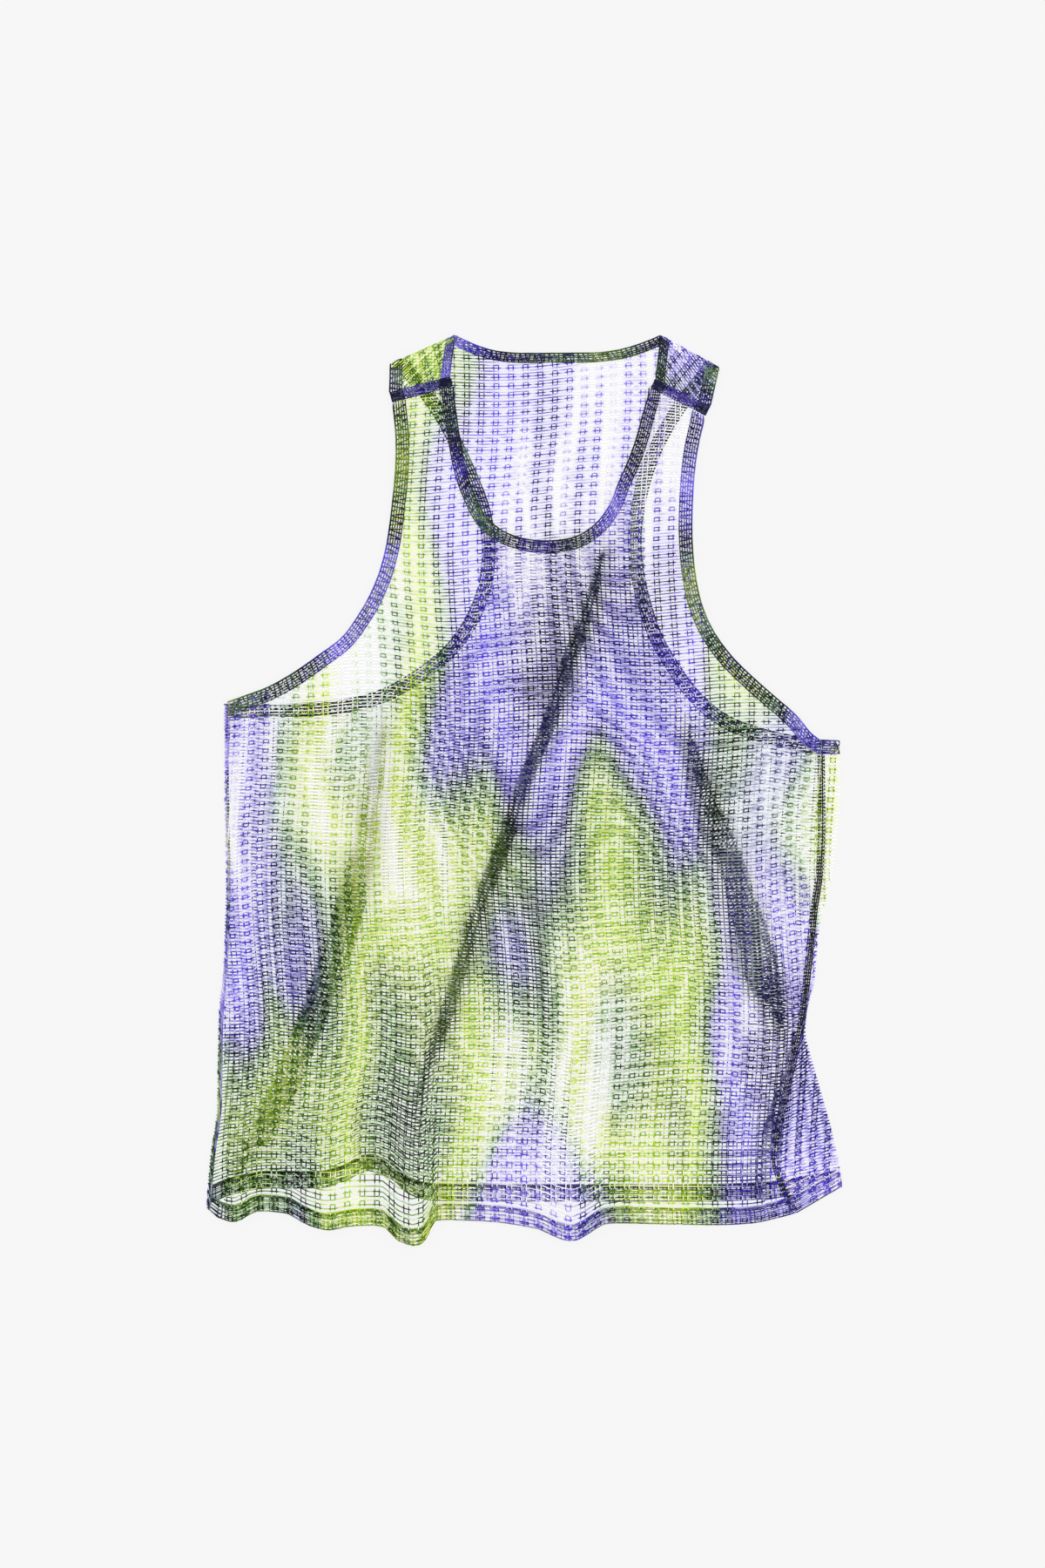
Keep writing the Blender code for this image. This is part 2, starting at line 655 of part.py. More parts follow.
def front_bands(body, chest, left, right):
    """The front's neck band and armhole bands, each beside the panel's own edge."""
    ahead = np.array([(0.0, 1.0, 0.0)])
    from_side = body[-1, chest.shape[1] + FRONT_RUNS["to_armhole"] :][::-1]
    holes = {}
    for name, foot, edge, rows, way in (
        ("left", body[-1, : FRONT_RUNS["to_armhole"]], chest[:-1, 0], left, 1),
        ("right", from_side, chest[:-1, -1], right[:, ::-1], -1),
    ):
        points = spaced(np.concatenate([foot, edge, rows[:, 0]]))
        steps = np.concatenate([ahead, sideways(points, way)[1:-1], onward(rows[-1:], 0, 1)])
        holes[name + "_front_armhole_band"] = rim(points, steps, ARMHOLE_BAND, on_front)
    points = np.concatenate([left[::-1, -1], chest[-1, left.shape[1] : -right.shape[1]], right[:, 0]])
    farthest = np.maximum.accumulate(points[:, 0])
    points = spaced(points[np.concatenate([[True], points[1:, 0] > farthest[:-1] + LEAST_STEP])])
    steps = sideways(points, 1)
    steps[0], steps[-1] = onward(left[-1:], -1, -2)[0], onward(right[-1:], 0, 1)[0]
    return {"front_neck_band": rim(points, steps, NECK_BAND, on_front), **holes}


def back_bands(body, racer, left, right):
    """The back's neck band and armhole bands. They go round the side edges and over the shoulders."""
    first = 1 + EDGE_STEPS + BACK_RUNS["to_armhole"]
    holes = {}
    from_right = body[-1, first + racer.shape[1] :][::-1]
    for name, foot, turned, edge, rows, way in (
        ("left", body[-1, :first], 1 + EDGE_STEPS, racer[:, 0], left, 1),
        ("right", from_right, WRAP_STEPS + EDGE_STEPS, racer[:, -1], right[:, ::-1], -1),
    ):
        flat = spaced(np.concatenate([foot[turned:], edge]))
        points = np.concatenate([foot[:turned], flat[:-1], rows[:, 0]])
        ahead = np.tile((0.0, 1.0, 0.0), (turned + 1, 1))
        steps = np.concatenate([ahead, sideways(flat, way)[1:-1], onward(rows, 0, 1)])
        holes[name + "_back_armhole_band"] = rim(points, steps, ARMHOLE_BAND, on_floor)
    counts = BACK_RUNS["to_shoulder"], BACK_RUNS["to_shoulder"] + BACK_RUNS["neck"]
    neck = racer[-1, counts[0] : counts[1] + 1]
    points = np.concatenate([left[::-1, -1], neck[1:-1], right[:, 0]])
    steps = np.concatenate([onward(left, -1, -2)[::-1], sideways(neck, 1)[1:-1], onward(right, 0, 1)])
    return {"back_neck_band": rim(points, steps, BACK_NECK_BAND, on_floor), **holes}


def shoulder_seam(seam):
    """The doubled strip between the front's strap and the back's."""
    lower, upper = np.array(seam, float), np.array(upper_edge(seam))
    across_share = np.linspace(0, 1, SEAM_STEPS + 1)[:, None]
    rows = []
    for share in (0, 0.5, 1):
        start, end = lower * (1 - share) + upper * share
        flat = start + (end - start) * across_share
        rows.append(np.column_stack([flat, np.full(len(flat), FRONT_LEVEL)]))
    return np.array(rows)


def front_hem_level(share):
    return lambda x: front_hem(x) + HEM_BAND * share


def front_hem_rows():
    return np.array([body_row(front_hem_level(share), 0.0) for share in np.linspace(0, 1, BAND_ROWS + 1)])


# --- The back --------------------------------------------------------------------------------


def back_top(x):
    """y of the back body's highest row: along the racerback's armholes, and straight between."""
    left_x, right_x = racer_corners()
    between = np.interp(x, (left_x, right_x), RACER_CORNER_Y)
    low_left, low_right = (edge[:RACER_LOW] for edge in (inner_left_racer, inner_right_racer))
    beyond = np.where(x <= left_x, across(low_left)(x), across(low_right)(x))
    return np.where((x > left_x) & (x < right_x), between, beyond)


def racer_corners():
    low_left, low_right = (edge[:RACER_LOW] for edge in (inner_left_racer, inner_right_racer))
    return up(low_left)(RACER_CORNER_Y[0]), up(low_right)(RACER_CORNER_Y[1])


def back_row(level, floor, share, front):
    """One row round the back: from the left side seam, round both edges, to the right side seam.

    It ends beside the ends of the front's row at the level that is given as front."""
    radius = edge_radius(floor)
    rise = FRONT_LEVEL - floor
    left_x = float(settle(LEFT_GUESS, lambda x: left_side(level(x))))
    right_x = float(settle(RIGHT_GUESS, lambda x: right_side(level(x))))
    front_left_x, front_right_x = front_ends(front)
    edge = settle(0.0, lambda x: back_fold(level(x))[0])
    shape = fold_at(back_fold, level(edge))
    start = fold_start(*shape, BACK_FOLD_RADIUS)
    turn = [math.pi * (i + 1) / EDGE_STEPS for i in range(EDGE_STEPS)]

    points = [(front_left_x - SEAM_GAP, rise), (left_x + radius, rise)]
    points += [(left_x + radius - radius * math.sin(a), radius + radius * math.cos(a)) for a in turn]
    low = {name: left_x + radius + part * (start - left_x - radius) for name, part in RACER_SPREAD}
    corners = racer_corners()
    high = dict(zip(low, np.interp((0, RACER_STRAP, 1 - RACER_STRAP, 1), (0, 1), corners)))
    for name, steps in zip(low, ("to_armhole", "to_shoulder", "neck", "from_shoulder")):
        target = low[name] + (high[name] - low[name]) * share**3
        points += run(points[-1][0], target, BACK_RUNS[steps])
    points += run(points[-1][0], start, BACK_RUNS["to_fold"])
    points += fold(start, *shape[1:], BACK_FOLD_RADIUS)
    fallen = points[-1][1]
    outer = right_x - radius
    points += [(x, fallen) for x, _ in run(points[-1][0], outer, BACK_RUNS["to_edge"])]
    points += [(outer + radius * math.sin(a), fallen + radius - radius * math.cos(a)) for a in turn]
    wrapped = len(points)
    points += [(x, fallen + rise) for x, _ in run(outer, front_right_x + SEAM_GAP, WRAP_STEPS)]

    points = np.array(points)
    y = level(points[:, 0])
    y[0] = front(front_left_x)
    over = (outer - points[wrapped:, 0]) / (outer - front_right_x - SEAM_GAP)
    y[wrapped:] = level(outer) * (1 - over) + front(front_right_x) * over
    z = floor + points[:, 1] + settled(points, *shape, BACK_FOLD_RADIUS)
    return np.column_stack([points[:, 0], y, z])


def back_hem_rows():
    def back_hem_level(share):
        return lambda x: back_hem(x) + HEM_BAND * share

    shares = np.linspace(0, 1, BAND_ROWS + 1)
    return np.array([back_row(back_hem_level(s), BAND_FLOOR, 0, front_hem_level(s)) for s in shares])


def racer_top(left_flap, right_flap):
    """The back's highest row: along the left shoulder, the neck and the right shoulder."""
    counts = BACK_RUNS["to_shoulder"], BACK_RUNS["neck"], BACK_RUNS["from_shoulder"]
    left, right = left_flap[0, :, :2], right_flap[0, :, :2]
    neck = np.array([left[-1], *inner_back_neckline[NECK_TRIM:-NECK_TRIM], right[0]])
    along = np.linspace(0, len(neck) - 1, counts[1] + 1)
    place = np.arange(len(neck))
    between = np.column_stack([np.interp(along, place, neck[:, i]) for i in (0, 1)])[1:-1]
    return np.concatenate([left, between, right])


def racer_rows(top):
    """The racerback above the armholes' corners, up to the shoulders' tops and the neck."""
    corners = racer_corners()
    counts = BACK_RUNS["to_shoulder"], BACK_RUNS["neck"], BACK_RUNS["from_shoulder"]
    share = np.concatenate([
        np.linspace(0, RACER_STRAP, counts[0] + 1),
        np.linspace(RACER_STRAP, 1 - RACER_STRAP, counts[1] + 1)[1:],
        np.linspace(1 - RACER_STRAP, 1, counts[2] + 1)[1:],
    ])
    foot = np.column_stack([corners[0] + share * (corners[1] - corners[0]),
                            RACER_CORNER_Y[0] + share * (RACER_CORNER_Y[1] - RACER_CORNER_Y[0])])
    edges = up(inner_left_racer[RACER_LOW // 2 :]), up(inner_right_racer[RACER_LOW // 2 :])
    rows = []
    for step in np.linspace(0, 1, RACER_ROWS + 1):
        row = foot * (1 - step) + top * step
        if 0 < step < 1:
            spans = edges[0](row[0, 1]), edges[1](row[-1, 1])
            across_share = (row[:, 0] - row[0, 0]) / (row[-1, 0] - row[0, 0])
            row[:, 0] = spans[0] + (spans[1] - spans[0]) * across_share
        rows.append(np.column_stack([row, np.full(len(row), PANEL_FLOOR)]))
    return np.array(rows)


def over_shoulder(top, seam, floor):
    """Rows that turn over the top of a shoulder and come down the front to its seam."""
    radius = edge_radius(floor)
    down = seam - top
    down /= np.linalg.norm(down, axis=1)[:, None]
    rows = []
    for step in range(EDGE_STEPS + 1):
        angle = math.pi * step / EDGE_STEPS
        flat = top + down * radius * (1 - math.sin(angle))
        rows.append(np.column_stack([flat, np.full(len(flat), floor + radius * (1 - math.cos(angle)))]))
    for step in np.linspace(0, 1, FLAP_ROWS + 1)[1:]:
        flat = (top + down * radius) * (1 - step) + seam * step
        rows.append(np.column_stack([flat, np.full(len(flat), FRONT_LEVEL)]))
    return np.array(rows)


def upper_edge(seam):
    """The upper edge of a shoulder seam, from its lower one."""
    start, end = np.array(seam, float)
    way = (end - start) / np.linalg.norm(end - start)
    above = np.array([-way[1], way[0]]) if way[0] > 0 else np.array([way[1], -way[0]])
    return start + above * SHOULDER_SEAM, end + above * SHOULDER_SEAM


def on_line(line, near, far, count, gap=0.0):
    """Points along a line from its outer end to its neck end, kept clear of both by near and far."""
    start, end = seam_ends(line, near, far, gap)
    return start + np.linspace(0, 1, count + 1)[:, None] * (end - start)


def flap(shoulder, seam, span, floor, count):
    """A strap over the shoulder. Span gives its distances from the strap's outer end and its neck."""
    lines = np.array(shoulder, float), np.array(upper_edge(seam))
    widths = [np.linalg.norm(line[1] - line[0]) for line in lines]
    limits = [[distance if distance >= 0 else width + distance for distance in span] for width in widths]
    top, end = (on_line(line, *limit, count, gap) for line, limit, gap in zip(lines, limits, (0, -SEAM_GAP)))
    rows = over_shoulder(top, end, floor)
    return rows if top[0, 0] < top[-1, 0] else rows[:, ::-1]


def back_blocks():
    """The grids of the back panel: body, racer and the two straps over the shoulders."""
    def back_level(share):
        return body_level(lambda x: back_hem(x) + HEM_BAND + HEM_GAP, back_top, share)

    shares = np.linspace(0, 1, BODY_ROWS + 1)
    body = np.array([back_row(back_level(s), PANEL_FLOOR, s, front_level(s)) for s in shares])
    span = ARMHOLE_BAND + SEAM_GAP, BACK_NECK_BAND + SEAM_GAP
    left = flap(LEFT_SHOULDER, LEFT_SHOULDER_SEAM, span, PANEL_FLOOR, BACK_RUNS["to_shoulder"])
    right = flap(RIGHT_SHOULDER, RIGHT_SHOULDER_SEAM, span, PANEL_FLOOR, BACK_RUNS["from_shoulder"])
    racer = racer_rows(racer_top(left, right))
    first = 1 + EDGE_STEPS + BACK_RUNS["to_armhole"]
    racer[0] = body[-1, first : first + racer.shape[1]]
    return body, racer, left, right


# --- Objects ---------------------------------------------------------------------------------


def material(name, colour):
    made = bpy.data.materials.new(name)
    made.use_nodes = True
    surface = made.node_tree.nodes["Principled BSDF"]
    surface.inputs["Base Color"].default_value = (*colour, 1)
    surface.inputs["Roughness"].default_value = KNIT_ROUGHNESS
    surface.inputs["Metallic"].default_value = 0
    return made


def cloth(name, blocks, wall, colour, collection):
    """A piece of cloth: grids of points joined where they meet, with a wall of even thickness."""
    verts, faces = [], []
    index = {}

    def number(point):
        key = tuple(np.round(point, 3))
        if key not in index:
            index[key] = len(verts)
            verts.append([value * MM for value in point])
        return index[key]

    for grid in blocks:
        ids = [[number(point) for point in row] for row in grid]
        for low, high in zip(ids, ids[1:]):
            faces += [(low[i], low[i + 1], high[i + 1], high[i]) for i in range(len(low) - 1)]
    mesh = bpy.data.meshes.new(name)
    mesh.from_pydata(verts, [], faces)
    mesh.validate()
    mesh.shade_smooth()
    mesh.materials.append(material(name + "_knit", colour))
    made = bpy.data.objects.new(name, mesh)
    collection.objects.link(made)
    halves = made.modifiers.new("Halves", "TRIANGULATE")
    halves.quad_method = "FIXED"
    thick = made.modifiers.new("Wall", "SOLIDIFY")
    thick.thickness = wall * MM
    thick.offset = 0
    thick.use_quality_normals = True
    return made


def clear_scene():
    for old in list(bpy.data.objects):
        bpy.data.objects.remove(old, do_unlink=True)


def main():
    clear_scene()
    singlet = bpy.data.collections.new("running_singlet")
    bpy.context.scene.collection.children.link(singlet)
    front, back = front_blocks(), back_blocks()
    cloth("front_panel", front, PANEL_WALL, LIME, singlet)
    cloth("back_panel", back, PANEL_WALL, LILAC, singlet)
    bands = {**front_bands(*front), **back_bands(*back)}
    bands["front_hem"] = [front_hem_rows()]
    bands["back_hem"] = [back_hem_rows()]
    bands["left_shoulder_seam"] = [shoulder_seam(LEFT_SHOULDER_SEAM)]
    bands["right_shoulder_seam"] = [shoulder_seam(RIGHT_SHOULDER_SEAM)]
    for name, grids in bands.items():
        cloth(name, grids, BAND_WALL, BAND_COLOURS.get(name, VIOLET), singlet)


main()
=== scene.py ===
"""The looks of a racerback running singlet in ladder-mesh knit, laid flat on a pale floor.

The cloth is made of its threads: rungs that follow the level lines of the cut cloth, and chains
that cross them in pairs. Level lines are walked along the cloth, round its folds and edges, on
the same sizes as the solids. Lengths are in millimetres until a mesh is made, and the folds'
turns in degrees. The neck points to +Y and the underside lies on Z = 0.
"""

import math

import bpy
import numpy as np
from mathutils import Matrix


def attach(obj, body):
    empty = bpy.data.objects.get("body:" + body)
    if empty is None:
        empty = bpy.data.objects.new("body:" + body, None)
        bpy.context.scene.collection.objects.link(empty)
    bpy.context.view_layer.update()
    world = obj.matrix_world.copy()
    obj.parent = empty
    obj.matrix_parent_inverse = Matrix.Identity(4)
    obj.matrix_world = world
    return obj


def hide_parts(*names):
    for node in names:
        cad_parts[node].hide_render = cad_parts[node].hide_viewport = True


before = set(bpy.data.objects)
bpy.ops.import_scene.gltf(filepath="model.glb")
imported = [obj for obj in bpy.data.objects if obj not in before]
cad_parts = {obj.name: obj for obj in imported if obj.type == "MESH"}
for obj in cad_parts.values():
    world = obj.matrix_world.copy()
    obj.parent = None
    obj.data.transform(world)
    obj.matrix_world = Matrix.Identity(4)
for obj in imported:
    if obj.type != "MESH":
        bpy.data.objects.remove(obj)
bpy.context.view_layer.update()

MM = 0.001
TURN = 2 * math.pi

# Levels and edges, as in the solids
PANEL_FLOOR = 0.5  # middle of the back's wall
BAND_FLOOR = 0.7  # and of a band's
FRONT_LEVEL = 3.1  # middle of the front's wall where it lies flat on the back
SEAM_GAP = 0.3
SEAM_TUCK = 1.0  # how far the back comes over at an edge before the side seam
HEM_GAP = 0.5
NECK_BAND = 10.0
BACK_NECK_BAND = 8.0
ARMHOLE_BAND = 11.0
HEM_BAND = 13.0
SHOULDER_SEAM = 9.0

# Folds
FRONT_FOLD_RADIUS = 1.5
BACK_FOLD_RADIUS = 0.9
FOLD_STEPS = 8  # segments in each of a fold's two turns
SLANT_REACH = 15.0  # how far up and down its edge a fold's slant is read
RELAX = 45.0  # distance over which a fold's height settles back
LIFT_REACH = 16.0  # how far beyond the ends of the back's fold the front is still lifted
LIFT_BEFORE, LIFT_PAST, LIFT_DOWN = 12.0, 4.0, 26.0  # and how far beside it
RIDGE_FADES = (0.35, 0.12)  # shares of a ridge's length over which it rises and dies away
EDGE_FADE = 12.0  # distance from the side edges over which the front comes down flat
EDGE_STEPS = 8  # segments round the side edges

# Rows, which bend as the hem does at the low height, and no more at the high one
ROW_LOW, ROW_HIGH = -333.0, 85.0
FRONT_TOP, BACK_TOP = 335.0, 370.0  # no row lies above these
UNDERARM_Y = 60.0
LEFT_GUESS, RIGHT_GUESS = -240.0, 240.0  # about where the sides are
ROUNDS = 6  # enough of them for such a guess to settle
PATH_POINTS = 60
RACER_LOW = PATH_POINTS // 2  # points in the level part of the racerback's edges
RACER_CORNER_Y = (84.0, 82.0)  # heights of that part at its inner end, left and right

# The knit: rungs come closer together towards the shoulders, and chains run in pairs
RUNG_PITCH = 2.67
RUNG_GATHER = 0.0008  # how much the pitch shrinks for each millimetre up
PAIR_PITCH = 11.8
PAIR_GAP = 3.8
RUNG_WIDTH = 1.0
CHAIN_WIDTH = 0.95
UNEVEN = 0.18  # how much a thread's width varies
WANDER = 0.12  # how far a thread strays from its line
BINDING_WANDER = 0.3
BACK_SHIFT = -4.5  # of the back's chains from the front's
MOST_LAYERS = 5
JUMP = 1.2  # a chain ends where the cloth under it steps up or down by more than this
FLAT_STEP = 3.0
PROBE = 0.5  # spacing of the points that tell where a line enters and leaves a piece
LEAST_THREAD = 1.5
LEAST_MOVE = 0.001  # on the print, below which a thread has no direction there
RAW_EDGE = 1.0  # distance of the panels' raw edges from the outline, inside the bindings

# The cut: widths of the cloth before it was folded, below the underarms and above them
FRONT_CUT, BACK_CUT = 546.0, 562.0
FRONT_YOKE_CUT, BACK_YOKE_CUT = 510.0, 515.0
CLOTH_LOW, CLOTH_HIGH = -380.0, 440.0  # heights of the cloth that its print covers
CLOTH_LEFT, CLOTH_RIGHT = -265.0, 265.0  # and its sides
PRINT_CORNERS = ((0.0, CLOTH_LOW), (CLOTH_RIGHT - CLOTH_LEFT, CLOTH_HIGH))

# Strips: bindings, shoulder tapes and side seams
PLY = 0.3  # half the distance between the two plies of a band
STRIP_PITCH = 2.2
STRIP_WIDTHS = (1.0, 1.3)  # of the bindings' rungs and chains
STRIP_EDGE = 0.6  # distance of a strip's first and last row from its edges
STRIP_POINTS = 120
STRIP_MARGINS = (5, 1)  # how far a strip's print goes past its ends and past its edges
SHOULDER_POINTS = 16
WRAP_POINTS = 5
LOWER_LEAN = 0.4  # of the chains in a binding's lower ply
FOLD_SHARE = -0.2  # where a binding's folded edge lies, from its first row to its second
SHOULDER_STEP = 1.0  # from point to point of a strap's rows
CLEAR = 1.0  # least distance of a line's cut end from its next point
PAST_SEAM = 1.0  # how far the back's bands go past the upper edges of the shoulder seams
TAPE_ROWS, TAPE_POINTS = 6, 12
TAPE_CHAINS = 2.4  # from one chain of a shoulder tape to the next
END_CHAINS = 1.0  # and at its ends
SEAM_EDGE = 1.5  # how far the side seams reach past the line where the panels meet
SEAM_ROWS = 4
SEAM_SPACE = 1.0  # before a side seam's first chain
HEM_EDGE = 0.4  # distance of a hem's first and last row from its edges

# Stitches: widths and lengths
STITCH_WIDTH = 0.45
STITCH_ZONE = 3.0  # height of the hems' stitching
BINDING_STITCH, SEAM_STITCH, HEM_STITCH = 1.4, 1.5, 1.6
BINDING_SHARES = (0.2, 1.0)  # where they turn, from a binding's last row but one to its last

# Side seams: low and high end, width, and seed
LEFT_SIDE_SEAM = (-336.0, 69.0, 2.2, 61)
RIGHT_SIDE_SEAM = (-337.0, 40.0, 5.0, 62)

# Seeds of the threads, from which each kind of piece counts on
FRONT_SEED, BACK_SEED, BINDING_SEED, TAPE_SEED, FRONT_HEM_SEED, BACK_HEM_SEED = 1, 3, 31, 41, 51, 53

# How level lines stray in the laid cloth: a wave's height, length and place, lean upwards, and tilt
FRONT_STRAY = (3.4, 150.0, 20.0, 0.35, -0.03)
BACK_STRAY = (3.0, 205.0, -60.0, -0.3, 0.035)
STRAY_RISE = 90.0  # height over the hem at which lines stray in full
STRAY_SIDE = 60.0  # and distance from the sides
CHAIN_STRAY = (3.0, 260.0)  # height and length of the chains' slow waves

# Painted shade: how much the cloth's colour is darkened at its folds, standing in for the light
# they dim as it comes through
FRONT_PAINTED_SHADES = (0.32, 0.95, 0.7)  # the left, main and side fold
BACK_PAINTED_SHADE = 1.0
OVER_PAINTED_SHADE = 0.72  # the front, where it lies over the back's fold
PAINTED_SHADE_EDGES = (1.5, 7.0)  # width of the painted shade's soft edges: at a fold's edge, and inside
OVER_EDGES = (7.0, 7.0)  # and the same over the back's fold
PAINTED_SHADE_REACH = 4.0  # how far past a fold's overlap the painted shade is full
# Painted shade over the whole hem, where its plies lie doubled
HEM_PAINTED_SHADE = 0.35
PAINTED_SHADE_TINT = (0.09, 0.14, 0.13)  # what is left of the colour where the painted shade is full

# The wash: what undyed yarn and each dye leave of the light
WHITE = (0.93, 0.92, 0.98)
PALE_LILAC = (0.50, 0.46, 0.85)
DEEP_LILAC = (0.15, 0.11, 0.42)
LILAC = (0.34, 0.27, 0.86)
VIOLET = (0.085, 0.055, 0.46)
DEEP_VIOLET = (0.014, 0.009, 0.13)
LIME = (0.33, 0.53, 0.012)
PALE_LIME = (0.62, 0.80, 0.05)
GREEN = (0.065, 0.20, 0.018)
DARK_GREEN = (0.016, 0.055, 0.018)
INK = (0.008, 0.013, 0.014)

# Dyes from one end of a noise to the other, each with its place
DYES = (
    (0.30, DEEP_VIOLET), (0.35, VIOLET), (0.42, LILAC), (0.475, VIOLET), (0.505, DARK_GREEN),
    (0.525, GREEN), (0.56, LIME), (0.61, PALE_LIME), (0.67, GREEN), (0.72, INK),
)
DEEP_DYES = (
    (0.32, DEEP_VIOLET), (0.38, LILAC), (0.43, VIOLET), (0.47, DEEP_VIOLET), (0.505, INK),
    (0.53, DARK_GREEN), (0.57, GREEN), (0.62, LIME), (0.68, DARK_GREEN),
)
STITCH_DYES = ((0.3, DEEP_VIOLET), (0.5, INK), (0.7, DARK_GREEN))

# How much dye the streaks, the patches and the whole cloth take
COVER = (0.65, 1.15, 0.05)
DEEP_COVER = (0.5, 0.6, 0.45)
HEM_COVER = (0.7, 1.3, 0.6)
SEAM_COVER = (0.4, 0.5, 0.0)
BROKEN = 0.82  # how much of it is broken up into dashes
BINDING_BROKEN = 0.3
LOOSE_DASHES = 0.45  # how much the dashes between the dyed stitches show
DEEPEST = 1.5  # how deep the dye is where it took most
WASH_SEED = 28.0
SHIFT_SEED = 10  # and how much of a panel's shift is added to it for its own streaks and dashes

# Dyed stitches of the nets
MARK_PITCH = 7.3  # height from one row of them to the next
MARK_EDGES = (0.15, 0.95)  # where their soft edges begin and end, in the sum of two waves
MARK_DEPTH = 1.1  # how much deeper their dye is

# Noises: waves in a metre along the rows and up, detail, and number
SWAY_NOISE = ((5, 3.5), 2, 0)
DYE_NOISE = ((7.5, 2.6), 1.5, 3)
STREAK_NOISE = ((55, 5), 1, 5)
PATCH_NOISE = ((9, 4), 1, 9)
DASH_NOISE = ((75, 330), 0, 12)
DEPTH_NOISE = ((90, 380), 0, 17)
GRAIN_NOISE = ((1400, 1400), 2, 0)
SWAY = 0.10  # how far the wash sways to the side, in metres
STREAK_EDGES = (0.38, 0.62)  # where these begin and end in their noises
PATCH_EDGES = (0.36, 0.58)
DASH_EDGES = (0.42, 0.60)
DEPTH_EDGES = (0.36, 0.60)

# The yarn itself
THREAD_DEPTH = 0.0008  # how far light goes in it, in metres
GRAIN_SHADES = ((0.3, (0.86,) * 3), (0.65, (1.0,) * 3))
GRAIN_ROUGHNESS = (0.3, 0.7, 0.7, 0.9)  # from these places in the noise to these values
GRAIN_BUMP = {"Strength": 0.4, "Distance": 0.0002}
GLOSS = 0.3

# The garment's outline, as points (x, y)
LEFT_SIDE = (
    (-241.4, 70), (-241.4, 14), (-240, -80), (-241.4, -126), (-246, -191), (-247, -253),
    (-252.5, -295), (-255.8, -334), (-257, -350),
)
RIGHT_SIDE = (
    (252.3, 40), (253, 4), (246.7, -52), (236.2, -99), (232.7, -136), (225.5, -196), (228.5, -209),
    (239, -246), (247.4, -277), (255, -318), (257, -345),
)
SIDE_SEAM = (
    (239, 40), (239.7, -24), (238.3, -62), (233.5, -97), (229, -140), (222, -197), (217.5, -215),
    (210, -247), (204.5, -275), (202.5, -297), (205.5, -311), (211.5, -325), (217.5, -338),
    (221, -350),
)
LEFT_ARMHOLE = (
    (-241.4, 70), (-225.7, 75.6), (-206.8, 82.6), (-187.9, 93), (-165.5, 108.5), (-146.6, 123),
    (-134, 140), (-124.2, 157), (-116.5, 176), (-110.9, 198), (-107.4, 223), (-103.6, 266),
    (-103.9, 288), (-106.4, 311),
)
RIGHT_ARMHOLE = (
    (239, 40), (232.7, 43.4), (219.4, 59), (200.5, 75.6), (181.6, 92.4), (166.9, 107), (150, 131),
    (141.8, 151), (136.8, 176), (134.8, 198), (134.8, 228), (139.6, 277), (145.2, 300.5),
)
NECKLINE = (
    (-57.7, 323.8), (-54.9, 303), (-52.1, 284), (-47.2, 258), (-39.5, 236), (-30.4, 219),
    (-19.2, 209.3), (-4.5, 203), (12.2, 200.5), (28, 201), (43, 204.5), (56.3, 213.5), (67.5, 228),
    (75.2, 247), (83.6, 266), (89.9, 284), (95.5, 305), (101.1, 322.5),
)
FRONT_HEM = (
    (-257, -333), (-247, -343), (-232, -346), (-214.5, -338), (-192.8, -339.5), (-175, -348.5),
    (-157, -353), (-140, -350), (-116, -349.5), (-100, -362), (-87, -365.5), (-78, -358),
    (-72, -345), (-30, -346.5), (9, -352), (37, -362), (68, -347.5), (110, -348.6), (152, -349.3),
    (180, -348), (203, -343.7), (218, -339.5),
)
LEFT_RACER = (
    (-241.4, 69), (-205, 68.8), (-169, 70.5), (-139, 74), (-115, 81), (-94, 92.4), (-75, 105.7),
    (-60.8, 119), (-49.8, 134.5), (-42, 150), (-36.5, 168), (-34.3, 188), (-35.5, 210), (-41, 232),
    (-50, 254), (-60, 276), (-71, 297), (-86, 319), (-107.5, 342),
)
RIGHT_RACER = (
    (252.3, 40), (236, 40.5), (210, 45), (186, 51), (160, 62), (139.5, 80), (122.8, 103),
    (110, 125.7), (101, 152.4), (95.5, 178), (93.8, 203), (96.3, 226), (102.5, 252), (115.5, 283),
    (134, 312), (156, 339.2),
)
BACK_NECKLINE = (
    (-55.8, 365.4), (-39.5, 358), (-27, 353.8), (-11.5, 351.6), (12, 351.2), (36, 351.4),
    (62, 352), (77, 354.2), (92, 358.6), (109.3, 365.4),
)
BACK_HEM = (
    (-258, -334), (-235, -325), (-206, -320), (-166, -320), (-145, -314.5), (-126, -306),
    (-108, -312), (-91, -326), (-72, -330), (30, -330.5), (149, -330.5), (200, -328), (235, -322),
    (258, -318),
)
LEFT_SHOULDER = ((-108.1, 342.3), (-55.8, 365.4))  # outer point and neck point
RIGHT_SHOULDER = ((156.4, 339.5), (109.3, 365.4))
LEFT_SHOULDER_SEAM = ((-106.4, 310.8), (-57.7, 323.8))  # lower edge of the doubled seam
RIGHT_SHOULDER_SEAM = ((145.2, 300.3), (101.1, 322.5))

